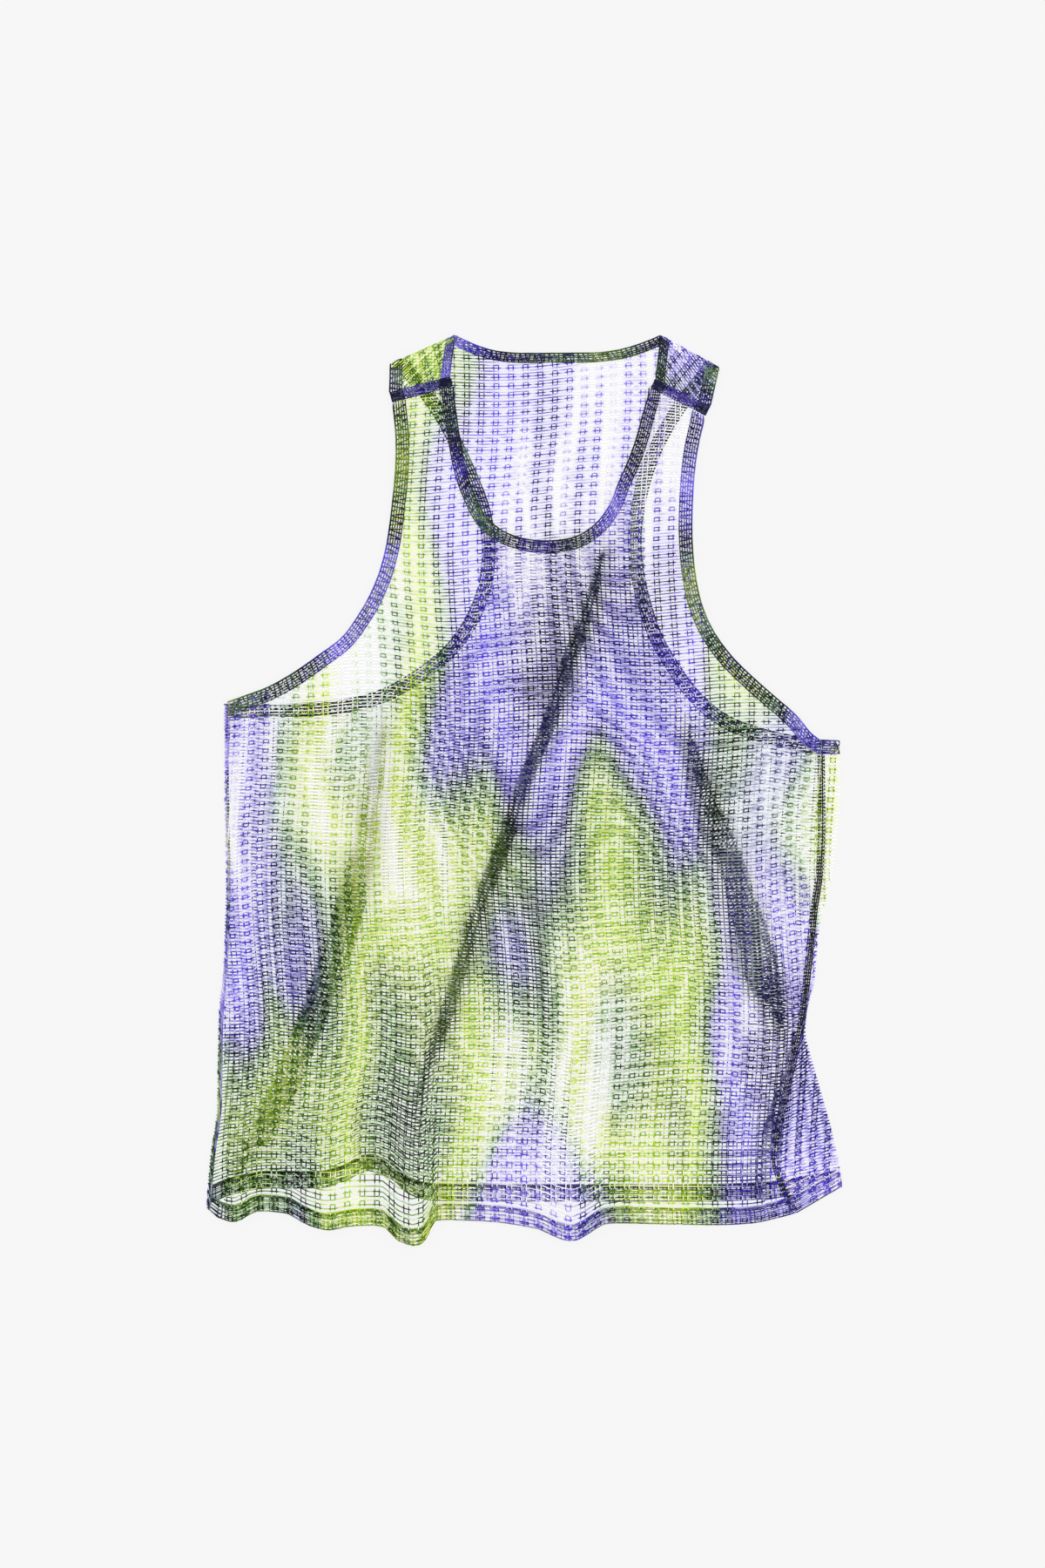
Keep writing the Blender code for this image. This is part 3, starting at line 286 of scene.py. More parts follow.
# Folds: level y, x of the edge that shows, width of the overlap, and turn. A turn over 0 lays
# what is right of the edge on top, and one under 0 what is left of it.
LEFT_FOLD = (
    (230, -80, 3.3, 0), (140, -98, 3.3, 0), (83, -113, 3.3, 0), (60, -117, 4, 110),
    (29, -122, 10, 180), (-35, -136, 18, 180), (-91, -152, 24, 180), (-142, -169, 25, 180),
    (-206, -191.4, 24, 180), (-248, -209, 24, 180), (-283, -223, 20, 180), (-307, -236, 12, 180),
    (-322, -244, 5, 120), (-336, -245, 3.3, 60), (-355, -245, 3.3, 40),
)
MAIN_FOLD = (
    (212, 62, 3.3, 0), (198, 61, 3.3, 70), (184, 58, 6, 180), (139, 43, 10.5, 180),
    (104, 29.7, 12, 180), (50, 12.2, 12.5, 180), (5, -5.2, 12.5, 180), (-50, -22.8, 12.5, 180),
    (-101, -40.9, 12.5, 180), (-154, -57, 12, 180), (-212, -73.8, 11, 180), (-250, -86, 8, 180),
    (-270, -92.5, 5, 150), (-286, -98, 3.3, 60), (-300, -102, 3.3, 0), (-360, -106, 3.3, 0),
)
SIDE_FOLD = (
    (60, 185, 3.3, 0), (-100, 206, 3.3, 0), (-190, 205, 3.3, 0), (-200, 207.5, 3.3, -40),
    (-208, 213, 4.5, -110), (-216, 219, 7, -160), (-226, 218, 7, -180), (-264, 210.3, 12, -180),
    (-298, 199.5, 13, -180), (-318, 193, 8, -180), (-330, 191, 4, -110), (-340, 190, 3.3, -30),
    (-355, 190, 3.3, 0),
)
BACK_FOLD = (
    (68, 126.5, 2.1, 0), (56, 131.5, 2.1, -110), (42, 136, 7, -180), (29, 141, 9.5, -180),
    (-15, 158, 16, -180), (-43, 171, 22, -180), (-80, 184, 25, -180), (-114, 196, 29, -180),
    (-136, 203, 31, -180), (-160, 208, 26, -180), (-184, 209, 10, -180), (-198, 206, 2.1, -90),
    (-214, 200, 2.1, 0), (-345, 178, 2.1, 0),
)

# Soft ridges of the front: x and y of the top, middle and foot, height, and half widths
RIDGES = (
    (-57, 185, -66, 40, -107, -118, 2.6, 16, 16),
    (-46, -238, -68, -300, -83, -375, 9.0, 32, 9),
    (90, -110, 68, -205, 37, -375, 8.0, 30, 30),
    (-178, -230, -166, -300, -157, -365, 5.0, 22, 22),
    (-231, -300, -231, -325, -231, -360, 3.5, 14, 14),
    (150, 60, 128, -60, 118, -190, 3.0, 24, 24),
    (-200, 20, -205, -60, -212, -150, 2.4, 18, 18),
    (12, 160, -12, 60, -34, -40, 2.2, 15, 15),
)

# The view: straight down on a frame of this height round this point
VIEW_HEIGHT = 1260.0
VIEW_CENTRE = (-1.75, 4.9)
VIEW_DISTANCE = 3000.0
SENSOR = 36.0
FAR_CLIP = 100  # metres

# The studio, in metres: a floor just under the lowest threads, and even light from all round
FLOOR_SIZE = 8
FLOOR_Z = -0.0002
FLOOR_GREY = (0.05, 0.05, 0.05)
FLOOR_GLOW = 0.85
STUDIO_LIGHT = 1.6
LIGHT_COLOUR = (1, 1, 1)


# --- Curves ---


def level_slopes(places, values):
    """Slopes for a curve that never swings past its table's values."""
    secants = np.diff(values, axis=0) / np.diff(places)[:, None]
    low, high = secants[:-1], secants[1:]
    same = low * high > 0
    inner = np.where(same, 2 * low * high / np.where(same, low + high, 1), 0)
    return np.concatenate([secants[:1], inner, secants[-1:]])


def smooth(table, slopes_of=level_slopes):
    """A smooth function through the rows (place, value, ...), which run up or down in place."""
    rows = np.array(sorted(table), float)
    places, values = rows[:, 0], rows[:, 1:]
    slopes = slopes_of(places, values)

    def at(place):
        place = np.clip(np.asarray(place, float), places[0], places[-1])
        i = np.clip(np.searchsorted(places, place) - 1, 0, len(places) - 2)
        step = places[i + 1] - places[i]
        t = ((place - places[i]) / step)[..., None]
        step = step[..., None]
        ends = values[i] * (2 * t**3 - 3 * t**2 + 1) + values[i + 1] * (3 * t**2 - 2 * t**3)
        turns = slopes[i] * (t**3 - 2 * t**2 + t) * step + slopes[i + 1] * (t**3 - t**2) * step
        found = ends + turns
        return found[..., 0] if values.shape[1] == 1 else found

    return at


def walked(points):
    """How far along the line through them each point lies."""
    return np.concatenate([[0], np.cumsum(np.linalg.norm(np.diff(points, axis=0), axis=1))])


def columns_at(places, known, columns):
    """Columns of values that are known at some places, read at others."""
    return np.column_stack([np.interp(places, known, column) for column in columns.T])


def path(points):
    """The points of a smooth path through the given ones, evenly spaced along it."""
    points = np.array(points, float)
    along = walked(points)
    at = smooth([(a, *p) for a, p in zip(along, points)], lambda a, p: np.gradient(p, a, axis=0))
    return at(np.linspace(0, along[-1], PATH_POINTS))


def beside(points, distance):
    """The path that lies this far to the left of the given one, as it is walked."""
    ways = np.gradient(points, axis=0)
    ways /= np.linalg.norm(ways, axis=1)[:, None]
    return points + distance * np.stack([-ways[:, 1], ways[:, 0]], axis=1)


def across(points, beyond=None):
    """The path's y at a given x, and beyond past its ends where that is given."""
    points = points[np.argsort(points[:, 0])]
    return lambda x: np.interp(x, points[:, 0], points[:, 1], left=beyond, right=beyond)


def up(points):
    """The path's x at a given y."""
    points = points[np.argsort(points[:, 1])]
    return lambda y: np.interp(y, points[:, 1], points[:, 0])


def line(start, end):
    """The y at a given x of a straight line, which goes on past both points."""
    slope = (end[1] - start[1]) / (end[0] - start[0])
    return lambda x: start[1] + slope * (x - start[0])


def ease(t):
    t = np.clip(t, 0, 1)
    return t * t * (3 - 2 * t)


def settle(guess, rule):
    """The value that a rule gives back, as for an x read at the y that this x has on a row."""
    for _ in range(ROUNDS):
        guess = rule(guess)
    return float(guess)


def unit(ways):
    return ways / np.linalg.norm(ways, axis=-1, keepdims=True)


left_side, right_side, side_seam = (
    smooth([(y, x) for x, y in points]) for points in (LEFT_SIDE, RIGHT_SIDE, SIDE_SEAM))
left_armhole, right_armhole, neckline = map(path, (LEFT_ARMHOLE, RIGHT_ARMHOLE, NECKLINE))
left_racer, right_racer, back_neckline = map(path, (LEFT_RACER, RIGHT_RACER, BACK_NECKLINE))
front_hem, back_hem, back_fold = map(smooth, (FRONT_HEM, BACK_HEM, BACK_FOLD))
front_folds = [smooth(table) for table in (LEFT_FOLD, MAIN_FOLD, SIDE_FOLD)]
ridges = [(smooth([(y_top, x_top), (y_mid, x_mid), (y_foot, x_foot)]), y_top, y_foot, *rest)
          for x_top, y_top, x_mid, y_mid, x_foot, y_foot, *rest in RIDGES]


# --- Folds and heights ---


def fold_start(edge, overlap, turn, radius):
    """Where a row begins to turn, for a fold whose visible edge is at this x."""
    opened = (1 - math.cos(math.radians(turn))) / 2
    if turn > 0:
        return edge + (overlap - radius) * opened
    return edge - radius * opened


def fold(start, overlap, turn, radius, slant):
    """The points (x, rise, climb) of a fold: a turn, a straight stretch and the turn back.

    slant is how far the fold's edge moves in x for each millimetre up. Cloth that turns back at
    such an edge runs at twice its angle, so that the row climbs."""
    angle = math.radians(turn)
    arc = math.pi * radius
    climbing = 2 * slant / (1 - slant**2)
    points, x, rise, climb = [], start, 0.0, 0.0
    stretches = [(arc / FOLD_STEPS, (i + 0.5) / FOLD_STEPS) for i in range(FOLD_STEPS)]
    for length, share in [*stretches, (overlap - 2 * radius, 1.0), *reversed(stretches)]:
        onward = length * math.cos(angle * share)
        if share == 1.0 and onward < 0:
            onward /= 1 + slant * climbing
            climb -= climbing * onward
        x += onward
        rise += length * math.sin(angle * share)
        points.append((x, rise, climb))
    return points


def fold_rise(overlap, turn, radius):
    """How much higher a row leaves a fold than it came to it."""
    angle = np.radians(turn)
    arc = math.pi * radius / FOLD_STEPS
    turned = sum(np.sin(angle * (i + 0.5) / FOLD_STEPS) for i in range(FOLD_STEPS))
    return 2 * arc * turned + (overlap - 2 * radius) * np.sin(angle)


def settled(x, edge, overlap, turn, radius):
    """The height given back beside a fold, so that both its sides come down to the cloth."""
    rise = fold_rise(overlap, turn, radius)
    if turn > 0:
        return -rise * ease((x - edge - overlap) / RELAX)
    return -rise * ease((x - edge + overlap) / RELAX + 1)


def over_back_fold(x, y):
    """How much the front is lifted by the back's fold under it, and a little beyond its ends."""
    edge, overlap, _ = np.moveaxis(back_fold(y), -1, 0)
    near = (np.moveaxis(back_fold(y + reach), -1, 0) for reach in (-LIFT_REACH, 0, LIFT_REACH))
    height = np.max([-fold_rise(*shape[1:], BACK_FOLD_RADIUS) for shape in near], axis=0)
    before = ease((x - edge + overlap + LIFT_BEFORE) / RELAX + 1)
    return height * before * (1 - ease((x - edge - LIFT_PAST) / LIFT_DOWN))


def ridge_height(x, y):
    total = np.zeros_like(x)
    for middle_at, top, foot, height, left_half, right_half in ridges:
        middle = middle_at(y)
        rising, dying = (share * (top - foot) for share in RIDGE_FADES)
        faded = ease((top - y) / rising) * ease((y - foot) / dying)
        half = np.where(x < middle, left_half, right_half)
        total += height * faded * np.exp(-(((x - middle) / half) ** 2))
    return total


def edge_radius(floor):
    """Radius of the turn that brings the back up to the front's level."""
    return (FRONT_LEVEL - floor) / 2


def front_left(y):
    return left_side(y) + edge_radius(PANEL_FLOOR) + SEAM_TUCK + SEAM_GAP


def front_right(y):
    return side_seam(y) - SEAM_GAP / 2


def front_height(x, y):
    """Level of the middle of the front's wall, before the row's own folds."""
    inside = ease((x - front_left(y)) / EDGE_FADE) * ease((front_right(y) - x) / EDGE_FADE)
    raised = over_back_fold(x, y) + ridge_height(x, y)
    return FRONT_LEVEL + raised * np.where(y > UNDERARM_Y, 1, inside)


# --- Rows of the cloth ---


class Row:
    """One level line of a piece.

    It has points with their places along it, a probe for each that tells whether there is cloth,
    the way out of the cloth, places in the print, and how much painted shade darkens its colour."""

    def __init__(self, height, places, points, probe, above, bends=(), cloth=None, dim=0.0):
        self.height = height
        self.places = places
        cloth = places if cloth is None else cloth
        dim = np.zeros(len(places)) + dim
        self.columns = np.column_stack([points, probe, above, cloth, dim])
        self.bends = bends

    def at(self, places):
        """Points, probes, ways out of the cloth, places in the print, and painted shade."""
        found = columns_at(places, self.places, self.columns)
        cloth = np.column_stack([found[:, 8], np.full(len(found), self.height)])
        return found[:, :3], found[:, 3:5], unit(found[:, 5:8]), cloth, found[:, 9]

    def over(self, lines):
        """Places where the row passes over each x: highest first, and NaN for layers it lacks."""
        x, _, z = self.columns[:, :3].T
        found = np.full((MOST_LAYERS, len(lines)), np.nan)
        passed = x[:, None] > lines[None, :]
        at, k = np.nonzero(passed[1:] != passed[:-1])
        share = (lines[k] - x[at]) / (x[at + 1] - x[at])
        places = self.places[at] + share * (self.places[at + 1] - self.places[at])
        order = np.lexsort((-(z[at] + share * (z[at + 1] - z[at])), k))
        k, places = k[order], places[order]
        layer = np.arange(len(k)) - np.searchsorted(k, k)
        kept = layer < MOST_LAYERS
        found[layer[kept], k[kept]] = places[kept]
        return found


def panel_row(height, points, bent, probe_x, dim):
    """A panel's row. Its print lies on the cloth as it is laid."""
    places = walked(points)
    above = unit(np.cross(unit(np.gradient(points, axis=0)), (0.0, 1.0, 0.0)))
    probe = np.column_stack([probe_x, points[:, 1]])
    return Row(height, places, points, probe, above, places[bent], points[:, 0] - CLOTH_LEFT, dim)


def fold_painted_shade(x, edge, overlap, turn, edges=PAINTED_SHADE_EDGES):
    """How much painted shade a fold gets, from 0 to 1: full where the cloth lies three deep."""
    turned = (1 - np.cos(np.radians(turn))) / 2
    inward = np.where(np.asarray(turn) > 0, x - edge, edge - x)
    before, past = edges
    return turned * ease(inward / before + 1) * ease((overlap + PAINTED_SHADE_REACH - inward) / past + 1)


class Walk:
    """The points (x, rise, climb) of a row as it is walked, in flat stretches and folds.

    rise is its height over where it began, and climb how far it has left its level."""

    def __init__(self, x, rise=0.0):
        self.points = [(x, rise, 0.0)]
        self.bent = [False]

    def flat(self, end):
        x, rise, climb = self.points[-1]
        count = max(1, round(abs(end - x) / FLAT_STEP))
        self.points += [(x + (end - x) * (i + 1) / count, rise, climb) for i in range(count)]
        self.bent += [False] * count

    def turned(self, points):
        self.points += points
        self.bent += [True] * len(points)

    def folded(self, shape, radius, slant):
        start = fold_start(*shape, radius)
        _, rise, climb = self.points[-1]
        self.flat(start)
        steps = fold(start, *shape[1:], radius, slant)
        self.turned([(x, rise + more, climb + further) for x, more, further in steps])


def hem_level(height, hem, stray):
    """A level line's y as a function of x.

    Near the hem it bends as the hem does, and above it strays a little."""
    share = np.clip((height - ROW_LOW) / (ROW_HIGH - ROW_LOW), 0, 1)
    depth, length, start, lean, tilt = stray
    risen = ease((height - ROW_LOW) / STRAY_RISE)

    def level(x):
        bend = (hem(x) + HEM_BAND + HEM_GAP - ROW_LOW) * (1 - share) ** 3
        inside = ease((RIGHT_GUESS - abs(x)) / STRAY_SIDE)
        wave = depth * np.sin((x - start + lean * height) * TURN / length) + tilt * x
        return height + bend + wave * risen * inside

    return level


def fold_shape(table, level):
    """A fold's edge, overlap and turn on a row, and its slant there."""
    edge = settle(0.0, lambda x: table(level(x))[0])
    y = level(edge)
    slant = (table(y + SLANT_REACH)[0] - table(y - SLANT_REACH)[0]) / (2 * SLANT_REACH)
    return tuple(float(value) for value in table(y)), float(slant)


def sides_at(level, left, right):
    """Where a level line meets the left and the right side, which give x at a y."""
    return (settle(LEFT_GUESS, lambda x: left(level(x))),
            settle(RIGHT_GUESS, lambda x: right(level(x))))


def front_row(height):
    level = hem_level(height, front_hem, FRONT_STRAY)
    left_x, right_x = sides_at(level, front_left, front_right)
    walk = Walk(left_x)
    shapes = []
    for shape, slant in (fold_shape(table, level) for table in front_folds):
        walk.folded(shape, FRONT_FOLD_RADIUS, slant)
        shapes.append(shape)
    walk.flat(right_x)
    x, rise, climb = np.array(walk.points).T
    y = level(x) + climb
    z = front_height(x, y) + rise + sum(settled(x, *shape, FRONT_FOLD_RADIUS) for shape in shapes)
    # Painted shade where the folds lie three deep, and where the front lies over the back's fold
    dim = sum(share * fold_painted_shade(x, *shape) for share, shape in zip(FRONT_PAINTED_SHADES, shapes))
    dim += OVER_PAINTED_SHADE * fold_painted_shade(x, *np.moveaxis(back_fold(y), -1, 0), OVER_EDGES)
    return panel_row(height, np.column_stack([x, y, z]), walk.bent, x, dim)


def back_row(height):
    """A row round the back: from the left side seam, round both edges, to the right side seam."""
    level = hem_level(height, back_hem, BACK_STRAY)
    front = hem_level(height, front_hem, FRONT_STRAY)
    radius = edge_radius(PANEL_FLOOR)
    left_x, right_x = sides_at(level, left_side, right_side)
    front_left_x, front_right_x = sides_at(front, front_left, front_right)
    shape, slant = fold_shape(back_fold, level)
    start_x, outer = left_x + radius, right_x - radius
    turn = [math.pi * (i + 1) / EDGE_STEPS for i in range(EDGE_STEPS)]

    walk = Walk(front_left_x - SEAM_GAP, 2 * radius)
    walk.flat(start_x)
    down = [(start_x - radius * math.sin(a), radius + radius * math.cos(a), 0.0) for a in turn]
    walk.turned(down)
    level_from = len(walk.points)
    walk.folded(shape, BACK_FOLD_RADIUS, slant)
    _, fallen, climbed = walk.points[-1]
    walk.flat(outer)
    level_to = len(walk.points)
    over = fallen + radius
    up_again = [(outer + radius * math.sin(a), over - radius * math.cos(a), climbed) for a in turn]
    walk.turned(up_again)
    wrapped = len(walk.points)
    walk.flat(front_right_x + SEAM_GAP)

    x, rise, climb = np.array(walk.points).T
    y = level(x) + climb
    y[0] = front(front_left_x)
    share = (outer - x[wrapped:]) / (outer - front_right_x - SEAM_GAP)
    y[wrapped:] = climbed + level(outer) * (1 - share) + front(front_right_x) * share
    z = PANEL_FLOOR + rise + settled(x, *shape, BACK_FOLD_RADIUS)
    probe = x.copy()
    probe[:level_from] = start_x
    probe[level_to:] = outer
    # Painted shade where the back's fold lies three deep
    dim = BACK_PAINTED_SHADE * fold_painted_shade(x, *shape)
    return panel_row(height, np.column_stack([x, y, z]), walk.bent, probe, dim)


def heights(low, high, offset=0.0):
    """Heights of the rungs from low to high. They come closer together on the way up."""
    found = [CLOTH_LOW + offset]
    while found[-1] < high:
        found.append(found[-1] + RUNG_PITCH - RUNG_GATHER * found[-1])
    return [height for height in found if low <= height <= high]


def chains(length, offset=0.0, start=0.0):
    """Places of the chains along a row, in pairs."""
    pairs = np.arange(start + PAIR_PITCH / 2 + offset, length - PAIR_GAP, PAIR_PITCH)
    return np.sort(np.concatenate([pairs, pairs + PAIR_GAP]))


# --- Where each panel has cloth ---


def front_cloth():
    """Tells where the front reaches: its raw edges lie in the bindings, just inside its outline."""
    left, right = up(beside(left_armhole, -RAW_EDGE)), up(beside(right_armhole, RAW_EDGE))
    moved = beside(neckline, -RAW_EDGE)
    half = len(moved) // 2
    neck_left, neck_right = up(moved[:half]), up(moved[half:])
    floor = moved[:, 1].min()
    tops = line(*LEFT_SHOULDER_SEAM), line(*RIGHT_SHOULDER_SEAM)

    def inside(x, y):
        in_neck = (y > floor) & (x > neck_left(y)) & (x < neck_right(y))
        top = np.where(x < 0, tops[0](x), tops[1](x)) + SHOULDER_SEAM / 2
        return (x > left(y)) & (x < right(y)) & ~in_neck & (y < top)

    return inside


def back_cloth():
    """Tells where the back reaches on the floor."""
    left, right = beside(left_racer, -RAW_EDGE), beside(right_racer, RAW_EDGE)
    low_left, low_right = left[:RACER_LOW], right[:RACER_LOW]
    corners = up(low_left)(RACER_CORNER_Y[0]), up(low_right)(RACER_CORNER_Y[1])
    high_left, high_right = up(left[RACER_LOW // 2 :]), up(right[RACER_LOW // 2 :])
    neck_y = across(beside(back_neckline, -RAW_EDGE), beyond=CLOTH_HIGH)
    turn = edge_radius(PANEL_FLOOR)
    tops = line(*LEFT_SHOULDER), line(*RIGHT_SHOULDER)

    def inside(x, y):
        low = np.where(x <= corners[0], across(low_left)(x), across(low_right)(x))
        low = np.where((x > corners[0]) & (x < corners[1]), min(RACER_CORNER_Y), low)
        between = (x > high_left(y)) & (x < high_right(y))
        below_top = (y < neck_y(x)) & (y < tops[0](x) - turn) & (y < tops[1](x) - turn)
        return ((y < low) | between) & below_top

    return inside


def everywhere(x, y):
    return np.full(np.shape(x), True)


# --- Shoulders ---


def upward(way):
    """The way across this one that points up the garment."""
    return np.array([-way[1], way[0]]) * (1 if way[0] > 0 else -1)


class Shoulder:
    """A strap of the back where it turns over the shoulder's top and comes down to its seam.

    Its points have a distance t from the armhole's edge, and w past where the turn begins."""

    def __init__(self, top, seam, floor):
        self.top, self.seam = np.array(top, float), np.array(seam, float)
        self.seam_top = self.seam + upward(unit(self.seam[1] - self.seam[0])) * SHOULDER_SEAM
        self.along = unit(self.top[1] - self.top[0])
        self.out = upward(self.along)
        self.radius = edge_radius(floor)
        self.floor = floor
        self.width = np.linalg.norm(self.top[1] - self.top[0])
        self.seam_width = np.linalg.norm(self.seam[1] - self.seam[0])

    def ends(self, t):
        """The points on the shoulder's top and on the seam's upper edge at this distance."""
        stops, seam_stops = ((0, ARMHOLE_BAND, width - BACK_NECK_BAND, width)
                             for width in (self.width, self.seam_width))
        top = self.top[0] + np.multiply.outer(t, self.along)
        seam_way = unit(self.seam_top[1] - self.seam_top[0])
        reached = np.multiply.outer(np.interp(t, stops, seam_stops), seam_way)
        return top, self.seam_top[0] + reached

    def reach(self, t):
        """w at the seam."""
        top, end = self.ends(t)
        return np.linalg.norm(end - top, axis=-1) + (math.pi - 1) * self.radius

    def at(self, t, w):
        """Points, and the ways to the inner side of the cloth."""
        top, end = self.ends(t)
        down = unit(end - top)
        angle = np.clip(w / self.radius, 0, math.pi)
        reached = self.radius * (1 - np.sin(angle)) + np.maximum(w - math.pi * self.radius, 0)
        reached = np.where(w < 0, self.radius - w, reached)
        flat = top + down * reached[..., None]
        z = self.floor + self.radius * (1 - np.cos(angle))
        points = np.concatenate([flat, z[..., None]], axis=-1)
        inner = np.concatenate([down * np.sin(angle)[..., None], np.cos(angle)[..., None]], axis=-1)
        return points, inner

    def row(self, height, xs):
        """A level line of the strap, which goes on flat over the turn in the cut cloth."""
        origin = self.top[0] - self.out * self.radius
        dx, dy = xs - origin[0], height - origin[1]
        t = dx * self.along[0] + dy * self.along[1]
        w = dx * self.out[0] + dy * self.out[1]
        points, inner = self.at(t, w)
        places = xs - CLOTH_LEFT
        return Row(height, places, points, np.column_stack([t, w]), inner, places[::2])

    def inside(self, t, w):
        in_width = (t > RAW_EDGE) & (t < self.width - RAW_EDGE)
        return in_width & (w > 0) & (w < self.reach(t) + SHOULDER_SEAM / 2)

    def rows(self):
        """Level lines over the whole strap."""
        corners = np.array([self.top[0] + self.along * t + self.out * w
                            for t in (0, self.width) for w in (0, self.reach(0.0) + SHOULDER_SEAM)])
        low, high = corners.min(axis=0), corners.max(axis=0)
        xs = np.arange(low[0], high[0], SHOULDER_STEP)
        return [self.row(height, xs) for height in heights(low[1], high[1])]


def shoulders(floor):
    """The left and the right shoulder, for cloth at this level."""
    return (Shoulder(LEFT_SHOULDER, LEFT_SHOULDER_SEAM, floor),
            Shoulder(RIGHT_SHOULDER, RIGHT_SHOULDER_SEAM, floor))


# --- Threads ---


class Threads:
    """Threads gathered for one mesh. Each is a closed three-sided prism round its line."""

    # How far an even triangle of width 1 reaches down and up from its middle
    LOW, HIGH = 1 / (2 * math.sqrt(3)), 1 / math.sqrt(3)

    def __init__(self, seed, wander=WANDER):
        self.wander = wander
        self.rings, self.prints, self.last, self.dims, self.looped = [], [], [], [], []
        self.chance = np.random.default_rng(seed)
        self.area = 0.0

    def stray(self, count):
        """How far each of a thread's points strays from its line."""
        return self.chance.uniform(-self.wander, self.wander, count)

    def add(self, points, above, cloth, width, dim=0.0, looped=0.0):
        """A thread through the points.

        cloth is the place of each in the print, the argument after width is how much painted shade
        darkens its colour, and looped is 1 for a panel's chains, which have no dashes between the
        dyed stitches."""
        count = len(points)
        widths = width * (1 + UNEVEN * self.chance.uniform(-1, 1, count))[:, None]
        aside = unit(np.cross(above, np.gradient(points, axis=0)))
        base = points - above * widths * self.LOW
        top = points + above * widths * self.HIGH
        corners = [base + aside * widths / 2, base - aside * widths / 2, top]
        self.rings.append(np.stack(corners, axis=1))
        onward = np.gradient(np.asarray(cloth, float), axis=0)
        moves = np.abs(onward).max(axis=1, keepdims=True) > LEAST_MOVE
        onward = unit(np.where(moves, onward, (1.0, 0.0)))
        spread = np.column_stack([-onward[:, 1], onward[:, 0]]) * widths / 2
        self.prints.append(np.stack([cloth + spread, cloth - spread, cloth], axis=1))
        self.last.append(np.arange(count) == count - 1)
        self.dims.append(np.zeros(count) + dim)
        self.looped.append(np.full(count, looped))

    def object(self, name, material, low, high):
        """The mesh. low and high are the corners of the print that its UV map covers."""
        rings, prints = np.concatenate(self.rings), np.concatenate(self.prints)
        last = np.concatenate(self.last)
        first = np.concatenate([[True], last[:-1]])
        base = 3 * np.flatnonzero(~last)
        quads = np.concatenate([
            np.column_stack([base + j, base + 3 + j, base + 3 + (j + 1) % 3, base + (j + 1) % 3])
            for j in range(3)
        ])
        start, end = 3 * np.flatnonzero(first)[:, None], 3 * np.flatnonzero(last)[:, None]
        caps = np.concatenate([start + (0, 1, 2), end + (0, 2, 1)])
        corners = np.concatenate([quads.ravel(), caps.ravel()])
        sizes = np.repeat((4, 3), (len(quads), len(caps)))
        starts = np.cumsum(sizes) - sizes

        mesh = bpy.data.meshes.new(name)
        mesh.vertices.add(3 * len(rings))
        mesh.vertices.foreach_set("co", (rings * MM).ravel())
        mesh.loops.add(len(corners))
        mesh.loops.foreach_set("vertex_index", corners)
        mesh.polygons.add(len(starts))
        mesh.polygons.foreach_set("loop_start", starts)
        mesh.update(calc_edges=True)
        layer = mesh.uv_layers.new(name="OFBake")
        low, high = np.array(low, float), np.array(high, float)
        placed = (prints.reshape(-1, 2) - low) / (high - low)
        layer.data.foreach_set("uv", placed[corners].ravel())
        for key, values in (("dim", self.dims), ("looped", self.looped)):
            layer = mesh.attributes.new(key, "FLOAT", "POINT")
            layer.data.foreach_set("value", np.repeat(np.concatenate(values), 3))
        mesh.shade_smooth()
        mesh.materials.append(material)
        made = bpy.data.objects.new(name, mesh)
        bpy.context.scene.collection.objects.link(made)
        return made


def stretches(there):
    """First and last index of each run of True."""
    edges = np.flatnonzero(np.diff(np.concatenate([[False], there, [False]]).astype(int)))
    return zip(edges[::2], edges[1::2] - 1)


def add_rungs(threads, rows, inside, lines, lift, width):
    """Threads along the rows, with points where these lines cross them and where the rows bend."""
    for row in rows:
        probe = np.arange(row.places[0], row.places[-1], PROBE)
        for start, end in stretches(inside(*row.at(probe)[1].T)):
            low, high = probe[start], probe[end]
            if high - low < LEAST_THREAD:
                continue
            places = np.concatenate([lines, row.bends])
            places = places[(places > low + PROBE) & (places < high - PROBE)]
            places = np.concatenate([[low], np.unique(np.round(places)), [high]])
            points, _, above, cloth, dim = row.at(places)
            points += above * lift
            points[:, 1] += threads.stray(len(points))
            threads.add(points, above, cloth, width, dim)
            threads.area += (high - low) * (RUNG_PITCH - RUNG_GATHER * row.height)


def add_linked(threads, linked, grid, width, looped=0.0):
    """Threads up the columns of a grid, wherever a point is linked to the next above it."""
    for k in range(linked.shape[1]):
        for start, end in stretches(linked[:, k]):
            points, above, cloth, dim = (part[start : end + 2, k] for part in grid)
            points = points.copy()
            points[:, 0] += threads.stray(len(points))
            threads.add(points, above, cloth, width, dim, looped)


def grid_at(rows, places):
    """What each row gives at its own places, as grids."""
    found = [row.at(along) for row, along in zip(rows, places)]
    return (np.array(part) for part in zip(*found))


def add_chains(threads, rows, inside, lines, lift, width, lean=0.0):
    """Chains across the rows, at these places along each of them."""
    height = np.array([row.height for row in rows])[:, None]
    places = lines + lean * (height - height[0])
    points, where, above, cloth, dim = grid_at(rows, places)
    cloth[..., 0] = places
    there = inside(where[..., 0], where[..., 1])
    grid = (points + above * lift, above, cloth, np.zeros_like(dim))
    add_linked(threads, there[1:] & there[:-1], grid, width)


def add_columns(threads, rows, inside, lines, width):
    """A panel's chains, which run up the laid cloth, in each layer that its rows make at an x."""
    depth, length = CHAIN_STRAY
    lines_at = [lines + depth * math.sin(row.height * TURN / length) for row in rows]
    places = [row.over(xs).ravel() for row, xs in zip(rows, lines_at)]
    points, where, above, cloth, dim = grid_at(rows, places)
    there = ~np.isnan(points[..., 0]) & inside(where[..., 0], where[..., 1])
    level = np.abs(np.diff(points[..., 2], axis=0)) < JUMP
    add_linked(threads, there[1:] & there[:-1] & level, (points, above, cloth, dim), width, 1.0)


